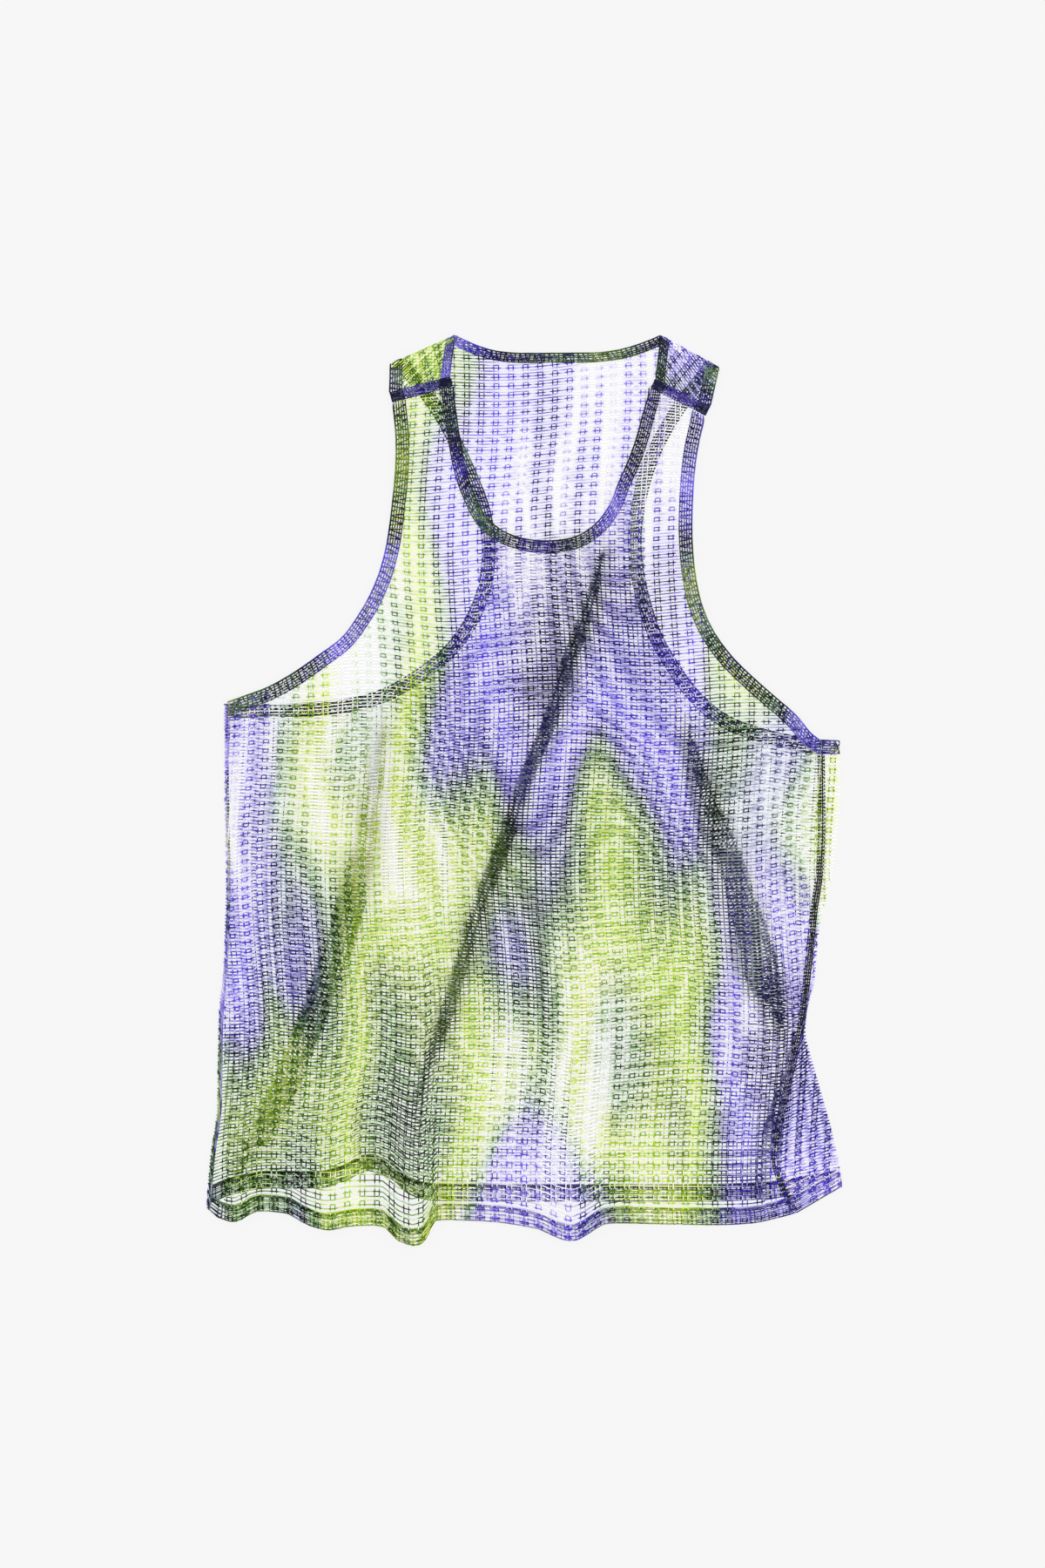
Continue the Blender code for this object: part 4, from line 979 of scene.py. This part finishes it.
def ladder(threads, rows, lines, lift=0.0, lean=0.0, inside=everywhere,
           widths=(RUNG_WIDTH, CHAIN_WIDTH)):
    """A ply of ladder mesh over these rows, with chains at these places along them."""
    add_rungs(threads, rows, inside, lines, lift, widths[0])
    add_chains(threads, rows, inside, lines, lift, widths[1], lean)


# --- Strips: bindings, seams and stitches ---


def strip_rows(line_at, distances):
    """Rows along a strip, which has a line for each distance across it."""
    grid = np.array([line_at(distance) for distance in distances])
    places = walked(grid[len(grid) // 2])
    above = unit(np.cross(np.gradient(grid, axis=1), np.gradient(grid, axis=0)))
    above *= np.sign(above[..., 2].mean())
    probe = np.zeros((len(places), 2))
    return [Row(distance, places, points, probe, outward)
            for distance, points, outward in zip(distances, grid, above)]


def evenly(points, count):
    """A line's points spaced out anew, evenly."""
    known = walked(points)
    return columns_at(np.linspace(0, known[-1], count), known, points)


def started_at(flat, x):
    """The line with its first point moved along it to this x."""
    keep = flat[:, 0] > x if flat[1, 0] > flat[0, 0] else flat[:, 0] < x
    rest = flat[np.argmax(keep & (np.abs(flat[:, 0] - x) > CLEAR)) :]
    slope = (rest[1, 1] - rest[0, 1]) / (rest[1, 0] - rest[0, 0])
    return np.concatenate([[(x, rest[0, 1] + slope * (x - rest[0, 0]))], rest])


def up_to(flat, top):
    """The line up to where it reaches this edge, given as a y for each x."""
    kept = flat[flat[:, 1] < top(flat[:, 0]) - CLEAR]
    return np.concatenate([kept, [(kept[-1, 0], float(top(kept[-1, 0])))]])


def on_front(flat):
    return np.column_stack([flat, front_height(*flat.T)])


def at_level(flat, z):
    return np.column_stack([flat, np.full(len(flat), z)])


def front_armhole_line(edge, way, seam, distance):
    flat = beside(edge, -way * distance)
    end = front_left(flat[0, 1]) if way > 0 else front_right(flat[0, 1])
    return on_front(evenly(up_to(started_at(flat, end), line(*seam)), STRIP_POINTS))


def neck_line(distance):
    flat = beside(neckline, -distance)
    half = len(flat) // 2
    left = up_to(flat[:half][::-1], line(*LEFT_SHOULDER_SEAM))[::-1]
    right = up_to(flat[half:], line(*RIGHT_SHOULDER_SEAM))
    return on_front(evenly(np.concatenate([left, right]), STRIP_POINTS))


def over_top(shoulder, t):
    """A line of a band from the turn at the shoulder's top down to the seam."""
    w = np.linspace(0, float(shoulder.reach(t)) + PAST_SEAM, SHOULDER_POINTS)
    return shoulder.at(np.full(len(w), t), w)[0]


def turn_in(shoulder):
    """Where a band's flat part ends and its turn over the shoulder begins, as a y for each x."""
    start, end = shoulder.top - shoulder.out * shoulder.radius
    return line(start, end)


def back_armhole_line(edge, way, shoulder, distance):
    """From the side seam round the side edge, along the racerback and over the shoulder."""
    flat = beside(edge, -way * distance)
    radius = edge_radius(BAND_FLOOR)
    side = left_side if way > 0 else right_side
    outer = float(side(flat[0, 1])) + way * radius
    flat = evenly(up_to(started_at(flat, outer), turn_in(shoulder)), STRIP_POINTS)
    y = flat[0, 1]
    seam_x = front_left(y) - SEAM_GAP if way > 0 else front_right(y) + SEAM_GAP
    turn = [(outer - way * radius * math.sin(a), y, BAND_FLOOR + radius - radius * math.cos(a))
            for a in np.linspace(math.pi, 0, EDGE_STEPS + 1)[:-1]]
    xs = np.linspace(float(seam_x), outer, WRAP_POINTS)[:-1]
    back_to_seam = [(x, y, FRONT_LEVEL) for x in xs]
    on_floor = at_level(flat, BAND_FLOOR)
    return np.concatenate([back_to_seam, turn, on_floor, over_top(shoulder, distance)[1:]])


def back_neck_line(left, right, distance):
    """Over the left shoulder, along the neck as far as the turns, and over the right shoulder."""
    flat = beside(back_neckline, -distance)[2:-2]
    return np.concatenate([
        over_top(left, left.width - distance)[:0:-1],
        at_level(evenly(flat, STRIP_POINTS), BAND_FLOOR),
        over_top(right, right.width - distance)[1:],
    ])


def stitch(threads, rows, shares, step, lift, width):
    """A thread whose points lie in turn at these shares of the way from one row to the other.

    A looped thread, which has two shares, stays a step away from the rows' ends."""
    clear = step if len(shares) > 1 else 0
    places = np.arange(rows[0].places[0] + clear, rows[0].places[-1] - clear, step)
    near, far = (row.at(places) for row in rows)
    share = np.resize(shares, len(places))[:, None]
    points, cloth = (near[i] * (1 - share) + far[i] * share for i in (0, 3))
    cloth[:, 0] = near[3][:, 0]
    threads.add(points + near[2] * lift, near[2], cloth, width)


# --- Materials ---


class Shader:
    """A material's node tree, with short calls for the nodes that the materials use."""

    def __init__(self, name):
        self.material = bpy.data.materials.new(name)
        self.material.use_nodes = True
        self.tree = self.material.node_tree

    def fill(self, node, inputs):
        """Give a node's inputs values or other nodes' outputs. A colour is given without alpha."""
        for key, value in inputs.items():
            socket = node.inputs[key]
            if isinstance(value, bpy.types.NodeSocket):
                self.tree.links.new(value, socket)
            else:
                socket.default_value = (*value, 1) if socket.type == "RGBA" else value
        return node

    def surface(self, inputs):
        self.fill(self.tree.nodes["Principled BSDF"], inputs)
        return self.material

    def node(self, kind, inputs=None, **settings):
        made = self.tree.nodes.new("ShaderNode" + kind)
        for key, value in settings.items():
            setattr(made, key, value)
        return self.fill(made, inputs or {})

    def attribute(self, name):
        return self.node("Attribute", attribute_name=name).outputs["Fac"]

    def math(self, operation, *values, **settings):
        inputs = dict(enumerate(values))
        return self.node("Math", inputs, operation=operation, **settings).outputs[0]

    def noise(self, place, kind, seed):
        """Noise from 0 to 1, of a kind that gives its waves, detail and number."""
        waves, detail, number = kind
        inputs = {"Location": (0, 0, seed + number), "Scale": (*waves, 1), "Vector": place}
        moved = self.node("Mapping", inputs).outputs[0]
        inputs = {"Vector": moved, "Scale": 1.0, "Detail": detail}
        return self.node("TexNoise", inputs).outputs["Fac"]

    def between(self, value, low, high, to_low=0.0, to_high=1.0):
        places = {"Value": value, "From Min": low, "From Max": high}
        inputs = {**places, "To Min": to_low, "To Max": to_high}
        return self.node("MapRange", inputs, interpolation_type="SMOOTHSTEP").outputs[0]

    def ramp(self, value, stops):
        made = self.node("ValToRGB", {"Fac": value})
        elements = made.color_ramp.elements
        while len(elements) < len(stops):
            elements.new(0.5)
        for element, (place, colour) in zip(elements, stops):
            element.position = place
            element.color = (*colour, 1)
        return made.outputs["Color"]

    def mix(self, share, first, second, blend="MIX"):
        inputs = {"Factor": share, 6: first, 7: second}  # these and output 2 are for colours
        return self.node("Mix", inputs, data_type="RGBA", blend_type=blend).outputs[2]

    def product(self, first, second):
        return self.mix(1.0, first, second, "MULTIPLY")


def marks(shader, x, y, shift):
    """Where the net's dyed stitches lie, from 0 to 1: on its pairs of chains, at every few rungs.

    x and y are places in the print, in metres, and shift is that of the panel's chains."""
    stray, length = (measure * MM for measure in CHAIN_STRAY)
    start = (CLOTH_LOW * MM * TURN / length) % TURN
    bent = shader.math("SINE", shader.math("MULTIPLY_ADD", y, TURN / length, start))
    x = shader.math("MULTIPLY_ADD", bent, -stray, x)
    middle = (PAIR_PITCH + PAIR_GAP) / 2 + shift
    waves = TURN / (PAIR_PITCH * MM)
    columns = shader.math("COSINE", shader.math("MULTIPLY_ADD", x, waves, -waves * middle * MM))
    rows = shader.math("COSINE", shader.math("MULTIPLY", y, TURN / (MARK_PITCH * MM)))
    return shader.between(shader.math("ADD", columns, rows), *MARK_EDGES)


def yarn(name, low, high, seed, dyes=DYES, undyed=WHITE, cover=COVER, broken=BROKEN, net=None):
    """Yarn under a wash of dyes, in soft streaks and patches that are broken up into short dashes.

    low and high are the corners of its print. net is the shift of a panel's chains. Panels of one
    seed share dyes and patches, and each has streaks and dashes of its own."""
    shader = Shader(name)
    own = seed + (0.0 if net is None else SHIFT_SEED * net)
    uv = shader.node("UVMap", uv_map="OFBake").outputs[0]
    size = ((high[0] - low[0]) * MM, (high[1] - low[1]) * MM, 1)
    place = shader.node("Mapping", {"Vector": uv, "Scale": size}).outputs[0]
    sway = shader.math("MULTIPLY", shader.noise(place, SWAY_NOISE, seed), SWAY)
    aside = shader.node("CombineXYZ", {0: sway}).outputs[0]
    bent = shader.node("VectorMath", {0: place, 1: aside}).outputs[0]
    dye = shader.ramp(shader.noise(bent, DYE_NOISE, seed), dyes)
    streak = shader.between(shader.noise(bent, STREAK_NOISE, own), *STREAK_EDGES)
    patch = shader.between(shader.noise(bent, PATCH_NOISE, seed), *PATCH_EDGES)
    dash = shader.between(shader.noise(place, DASH_NOISE, own), *DASH_EDGES)
    deeper = shader.between(shader.noise(place, DEPTH_NOISE, own), *DEPTH_EDGES, DEEPEST, 1.0)
    if net is not None:
        parts = shader.node("SeparateXYZ", {0: place}).outputs
        marked = marks(shader, parts[0], parts[1], net)
        loose = shader.math("MULTIPLY_ADD", shader.attribute("looped"), -LOOSE_DASHES, LOOSE_DASHES)
        dash = shader.math("MAXIMUM", shader.math("MULTIPLY", dash, loose), marked)
        deeper = shader.math("MULTIPLY_ADD", marked, MARK_DEPTH, deeper)

    # How much dye there is, and what light keeps of its colour through it
    streaks, patches, whole = cover
    amount = shader.math("MULTIPLY_ADD", streak, streaks, whole)
    amount = shader.math("MULTIPLY_ADD", patch, patches, amount)
    kept = shader.math("MULTIPLY_ADD", dash, broken, 1 - broken)
    amount = shader.math("MULTIPLY", amount, kept, use_clamp=True)
    depth = shader.math("MULTIPLY", amount, deeper)
    through = shader.node("Gamma", {"Color": dye, "Gamma": depth}).outputs[0]
    grain = shader.noise(place, GRAIN_NOISE, seed)
    colour = shader.product(shader.product(through, undyed), shader.ramp(grain, GRAIN_SHADES))
    # Painted shade: the colour is darkened towards a dark tint where the mesh's painted shade
    # attribute marks folds and doubled cloth
    colour = shader.mix(shader.attribute("dim"), colour, shader.product(colour, PAINTED_SHADE_TINT))
    return shader.surface({
        "Base Color": colour,
        "Roughness": shader.between(grain, *GRAIN_ROUGHNESS),
        "Normal": shader.node("Bump", {"Height": grain, **GRAIN_BUMP}).outputs[0],
        "Subsurface Weight": 1.0,
        "Subsurface Radius": (1, 1, 1),
        "Subsurface Scale": THREAD_DEPTH,
        "Specular IOR Level": GLOSS,
    })


# --- Pieces ---


def piece(made, nodes=()):
    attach(made, "root")
    if nodes:
        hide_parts(*nodes)
    return made


def panel(row, top, inside, shift, seed):
    """The threads of a panel, in two gatherings that meet under the arms."""
    rows = [row(height) for height in heights(ROW_LOW - HEM_BAND - HEM_GAP, top)]
    split = sum(rung.height < UNDERARM_Y for rung in rows)
    lines = chains(CLOTH_RIGHT, shift, CLOTH_LEFT)
    parts = (rows[:split], rows[: split + 1]), (rows[split:], rows[split:])
    for k, (rungs, crossed) in enumerate(parts):
        threads = Threads(seed + k)
        for rung in rungs:
            places = rung.over(lines).ravel()
            add_rungs(threads, [rung], inside, places[~np.isnan(places)], 0.0, RUNG_WIDTH)
        add_columns(threads, crossed, inside, lines, CHAIN_WIDTH)
        yield threads


def panel_piece(name, threads, material, slot, nodes, cut, **more):
    """A panel's piece. The given width of its cut, the length of its print and its rungs' area in
    all are worked out and not used.
    """
    made = piece(threads.object(name, material, *PRINT_CORNERS), nodes)
    cloth = np.concatenate(threads.prints).reshape(-1, 2)
    width, length = cut, np.ptp(cloth[:, 1])
    area = min(threads.area, width * length)


def panels():
    front_yarn = yarn("front_yarn", *PRINT_CORNERS, WASH_SEED, net=0.0)
    back_yarn = yarn("back_yarn", *PRINT_CORNERS, WASH_SEED, net=BACK_SHIFT)
    seams = [overlocked_seam("left_side_seam", front_left, 1, *LEFT_SIDE_SEAM, PALE_LILAC),
             overlocked_seam("right_side_seam", front_right, -1, *RIGHT_SIDE_SEAM, INK)]
    body, yoke = panel(front_row, FRONT_TOP, front_cloth(), 0.0, FRONT_SEED)
    panel_piece("front_net", body, front_yarn, "front_knit", ["front_panel"], FRONT_CUT,
                with_pieces=seams)
    panel_piece("front_yoke_net", yoke, front_yarn, "front_knit", [], FRONT_YOKE_CUT)
    body, racer = panel(back_row, BACK_TOP, back_cloth(), BACK_SHIFT, BACK_SEED)
    for shoulder in shoulders(PANEL_FLOOR):
        lines = chains(CLOTH_RIGHT - CLOTH_LEFT, BACK_SHIFT)
        ladder(racer, shoulder.rows(), lines, inside=shoulder.inside)
    panel_piece("back_net", body, back_yarn, "back_knit", ["back_panel"], BACK_CUT)
    panel_piece("racer_net", racer, back_yarn, "back_knit", [], BACK_YOKE_CUT)


def strip(name, threads, rows, width, seed, slot, nodes, *dyeing):
    """A strip's piece, with a print and yarn of its own."""
    past_end, past_edge = STRIP_MARGINS
    low, high = (-past_end, -past_edge), (rows[0].places[-1] + past_end, width + past_edge)
    material = yarn(name + "_yarn", low, high, seed, DEEP_DYES, *dyeing)
    return piece(threads.object(name, material, low, high), nodes)


def binding(name, seed, width, line_of, *shape):
    """A strip of the same mesh, folded over a panel's raw edge: two plies, a fold and stitches."""
    distances = np.linspace(STRIP_EDGE, width - STRIP_EDGE, round(width / STRIP_PITCH) + 1)
    rows = strip_rows(lambda distance: line_of(*shape, distance), distances)
    length = rows[0].places[-1]
    threads = Threads(seed, BINDING_WANDER)
    ladder(threads, rows, chains(length), PLY, widths=STRIP_WIDTHS)
    ladder(threads, rows, chains(length, PAIR_PITCH / 3), -PLY, LOWER_LEAN, widths=STRIP_WIDTHS)
    for lift in (-PLY / 2, PLY / 2):
        stitch(threads, rows[:2], [FOLD_SHARE], FLAT_STEP, lift, CHAIN_WIDTH)
    stitch(threads, rows[-2:], BINDING_SHARES, BINDING_STITCH, PLY, STITCH_WIDTH)
    made = strip(name + "_binding", threads, rows, width, seed, "binding", [name + "_band"],
                 PALE_LILAC, DEEP_COVER, BINDING_BROKEN)


def bindings():
    left, right = shoulders(BAND_FLOOR)
    strips = {
        "front_neck": (NECK_BAND, neck_line),
        "back_neck": (BACK_NECK_BAND, back_neck_line, left, right),
        "left_front_armhole": (
            ARMHOLE_BAND, front_armhole_line, left_armhole, 1, LEFT_SHOULDER_SEAM),
        "right_front_armhole": (
            ARMHOLE_BAND, front_armhole_line, right_armhole, -1, RIGHT_SHOULDER_SEAM),
        "left_back_armhole": (ARMHOLE_BAND, back_armhole_line, left_racer, 1, left),
        "right_back_armhole": (ARMHOLE_BAND, back_armhole_line, right_racer, -1, right),
    }
    for seed, (name, shape) in enumerate(strips.items(), BINDING_SEED):
        binding(name, seed, *shape)


def shoulder_tapes():
    """The doubled seams between the front's straps and the back's."""
    sides = zip(("left", "right"), shoulders(BAND_FLOOR))
    for seed, (side, shoulder) in enumerate(sides, TAPE_SEED):

        def line_at(distance):
            raised = (shoulder.seam_top - shoulder.seam) * distance / SHOULDER_SEAM
            start, end = shoulder.seam + raised
            flat = start + (end - start) * np.linspace(0, 1, TAPE_POINTS)[:, None]
            return at_level(flat, FRONT_LEVEL)

        rows = strip_rows(line_at, np.linspace(STRIP_EDGE, SHOULDER_SEAM - STRIP_EDGE, TAPE_ROWS))
        length = rows[0].places[-1]
        threads = Threads(seed)
        ladder(threads, rows, np.arange(TAPE_CHAINS / 2, length, TAPE_CHAINS), PLY)
        ladder(threads, rows[1:-1], np.arange(TAPE_CHAINS, length, TAPE_CHAINS), -PLY)
        # Under the tape's ends lie the doubled ends of four bindings, and painted shade darkens the
        # tape there in full
        for start, end in ((0, ARMHOLE_BAND), (length - NECK_BAND, length)):
            places = np.arange(start + END_CHAINS / 2, end, END_CHAINS)
            add_chains(threads, rows, everywhere, places, PLY, CHAIN_WIDTH)
        middle = (length + ARMHOLE_BAND - NECK_BAND) / 2
        half = (length - ARMHOLE_BAND - NECK_BAND) / 2
        from_middle = [np.abs(prints[:, 2, 0] - middle) for prints in threads.prints]
        threads.dims = [1.0 * (distance > half) for distance in from_middle]
        for pair in (rows[:3:2], rows[-3::2]):
            stitch(threads, pair, (0.0, 1.0), SEAM_STITCH, 2 * PLY, STITCH_WIDTH)
        made = strip(side + "_shoulder_tape", threads, rows, SHOULDER_SEAM, seed, "shoulder_tape",
                     [side + "_shoulder_seam"], DEEP_LILAC, DEEP_COVER)


def overlocked_seam(name, edge, way, low, high, width, seed, undyed):
    """An overlocked side seam: its doubled edges and the loops round them."""
    y = np.linspace(low, high, STRIP_POINTS)

    def line_at(distance):
        x = edge(y) + way * (distance - SEAM_EDGE)
        return at_level(np.column_stack([x, y]), FRONT_LEVEL)

    rows = strip_rows(line_at, np.linspace(0, width, SEAM_ROWS))
    threads = Threads(seed)
    ladder(threads, rows, np.arange(SEAM_SPACE, rows[0].places[-1], RUNG_PITCH), -PLY)
    for shares in ((0.0, 1.0), (1.0, 0.0)):
        stitch(threads, (rows[0], rows[-1]), shares, SEAM_STITCH, -2 * PLY, 2 * STITCH_WIDTH)
    return strip(name, threads, rows, width, seed, "front_knit", [], undyed, SEAM_COVER)


def hem(node, row, cut, inner, shift, seed):
    """The turned plies of a hem, and the stitches that hold them.

    inner is 1 where its rows' ways out of the cloth point to the inside of the garment."""
    name = node + "_fold"
    low_edge = ROW_LOW - HEM_BAND - HEM_GAP
    levels = heights(low_edge, ROW_LOW, RUNG_PITCH / 2)
    rows = [row(height) for height in (low_edge + HEM_EDGE, *levels, ROW_LOW - HEM_EDGE)]
    threads = Threads(seed)
    for lift, offset in ((PLY, PAIR_PITCH / 4), (2 * PLY, PAIR_PITCH / 2)):
        ladder(threads, rows, chains(cut, offset), inner * lift)
    # Painted shade over the whole hem, where its plies lie doubled
    threads.dims = [dim + HEM_PAINTED_SHADE for dim in threads.dims]
    material = yarn(name + "_yarn", *PRINT_CORNERS, WASH_SEED, cover=HEM_COVER, net=shift)
    made = piece(threads.object(name, material, *PRINT_CORNERS), [node])

    stitches = Threads(seed + 1)
    pair = [row(ROW_LOW - STITCH_ZONE), row(ROW_LOW)]
    for shares in ((0.0, 1.0), (1.0, 0.0)):
        stitch(stitches, pair, shares, HEM_STITCH, inner * 3 * PLY, 2 * STITCH_WIDTH)
    material = yarn(name + "_thread", *PRINT_CORNERS, seed, STITCH_DYES, INK)
    seam = piece(stitches.object(name + "_stitches", material, *PRINT_CORNERS))


def hems():
    hem("front_hem", front_row, FRONT_CUT, -1, 0.0, FRONT_HEM_SEED)
    hem("back_hem", back_row, BACK_CUT, 1, BACK_SHIFT, BACK_HEM_SEED)


def stage():
    """A pale floor that glows a little, soft light from all round, and a camera over it."""
    bpy.ops.mesh.primitive_plane_add(size=FLOOR_SIZE, location=(0, 0, FLOOR_Z))
    floor = bpy.context.active_object
    floor.name = "floor"
    floor.data.materials.append(Shader("floor_paper").surface({
        "Base Color": FLOOR_GREY,
        "Roughness": 1,
        "Specular IOR Level": 0,
        "Emission Color": LIGHT_COLOUR,
        "Emission Strength": FLOOR_GLOW,
    }))

    scene = bpy.context.scene
    world = bpy.data.worlds.new("studio")
    scene.world = world
    world.use_nodes = True
    light = world.node_tree.nodes["Background"].inputs
    light["Color"].default_value = (*LIGHT_COLOUR, 1)
    light["Strength"].default_value = STUDIO_LIGHT
    scene.view_settings.view_transform = "Standard"

    data = bpy.data.cameras.new("camera")
    data.sensor_width = SENSOR
    data.lens = SENSOR * VIEW_DISTANCE / VIEW_HEIGHT
    data.clip_end = FAR_CLIP
    camera = bpy.data.objects.new("camera", data)
    camera.location = (VIEW_CENTRE[0] * MM, VIEW_CENTRE[1] * MM, VIEW_DISTANCE * MM)
    scene.collection.objects.link(camera)
    scene.camera = camera


stage()
panels()
bindings()
shoulder_tapes()
hems()
bpy.context.view_layer.update()
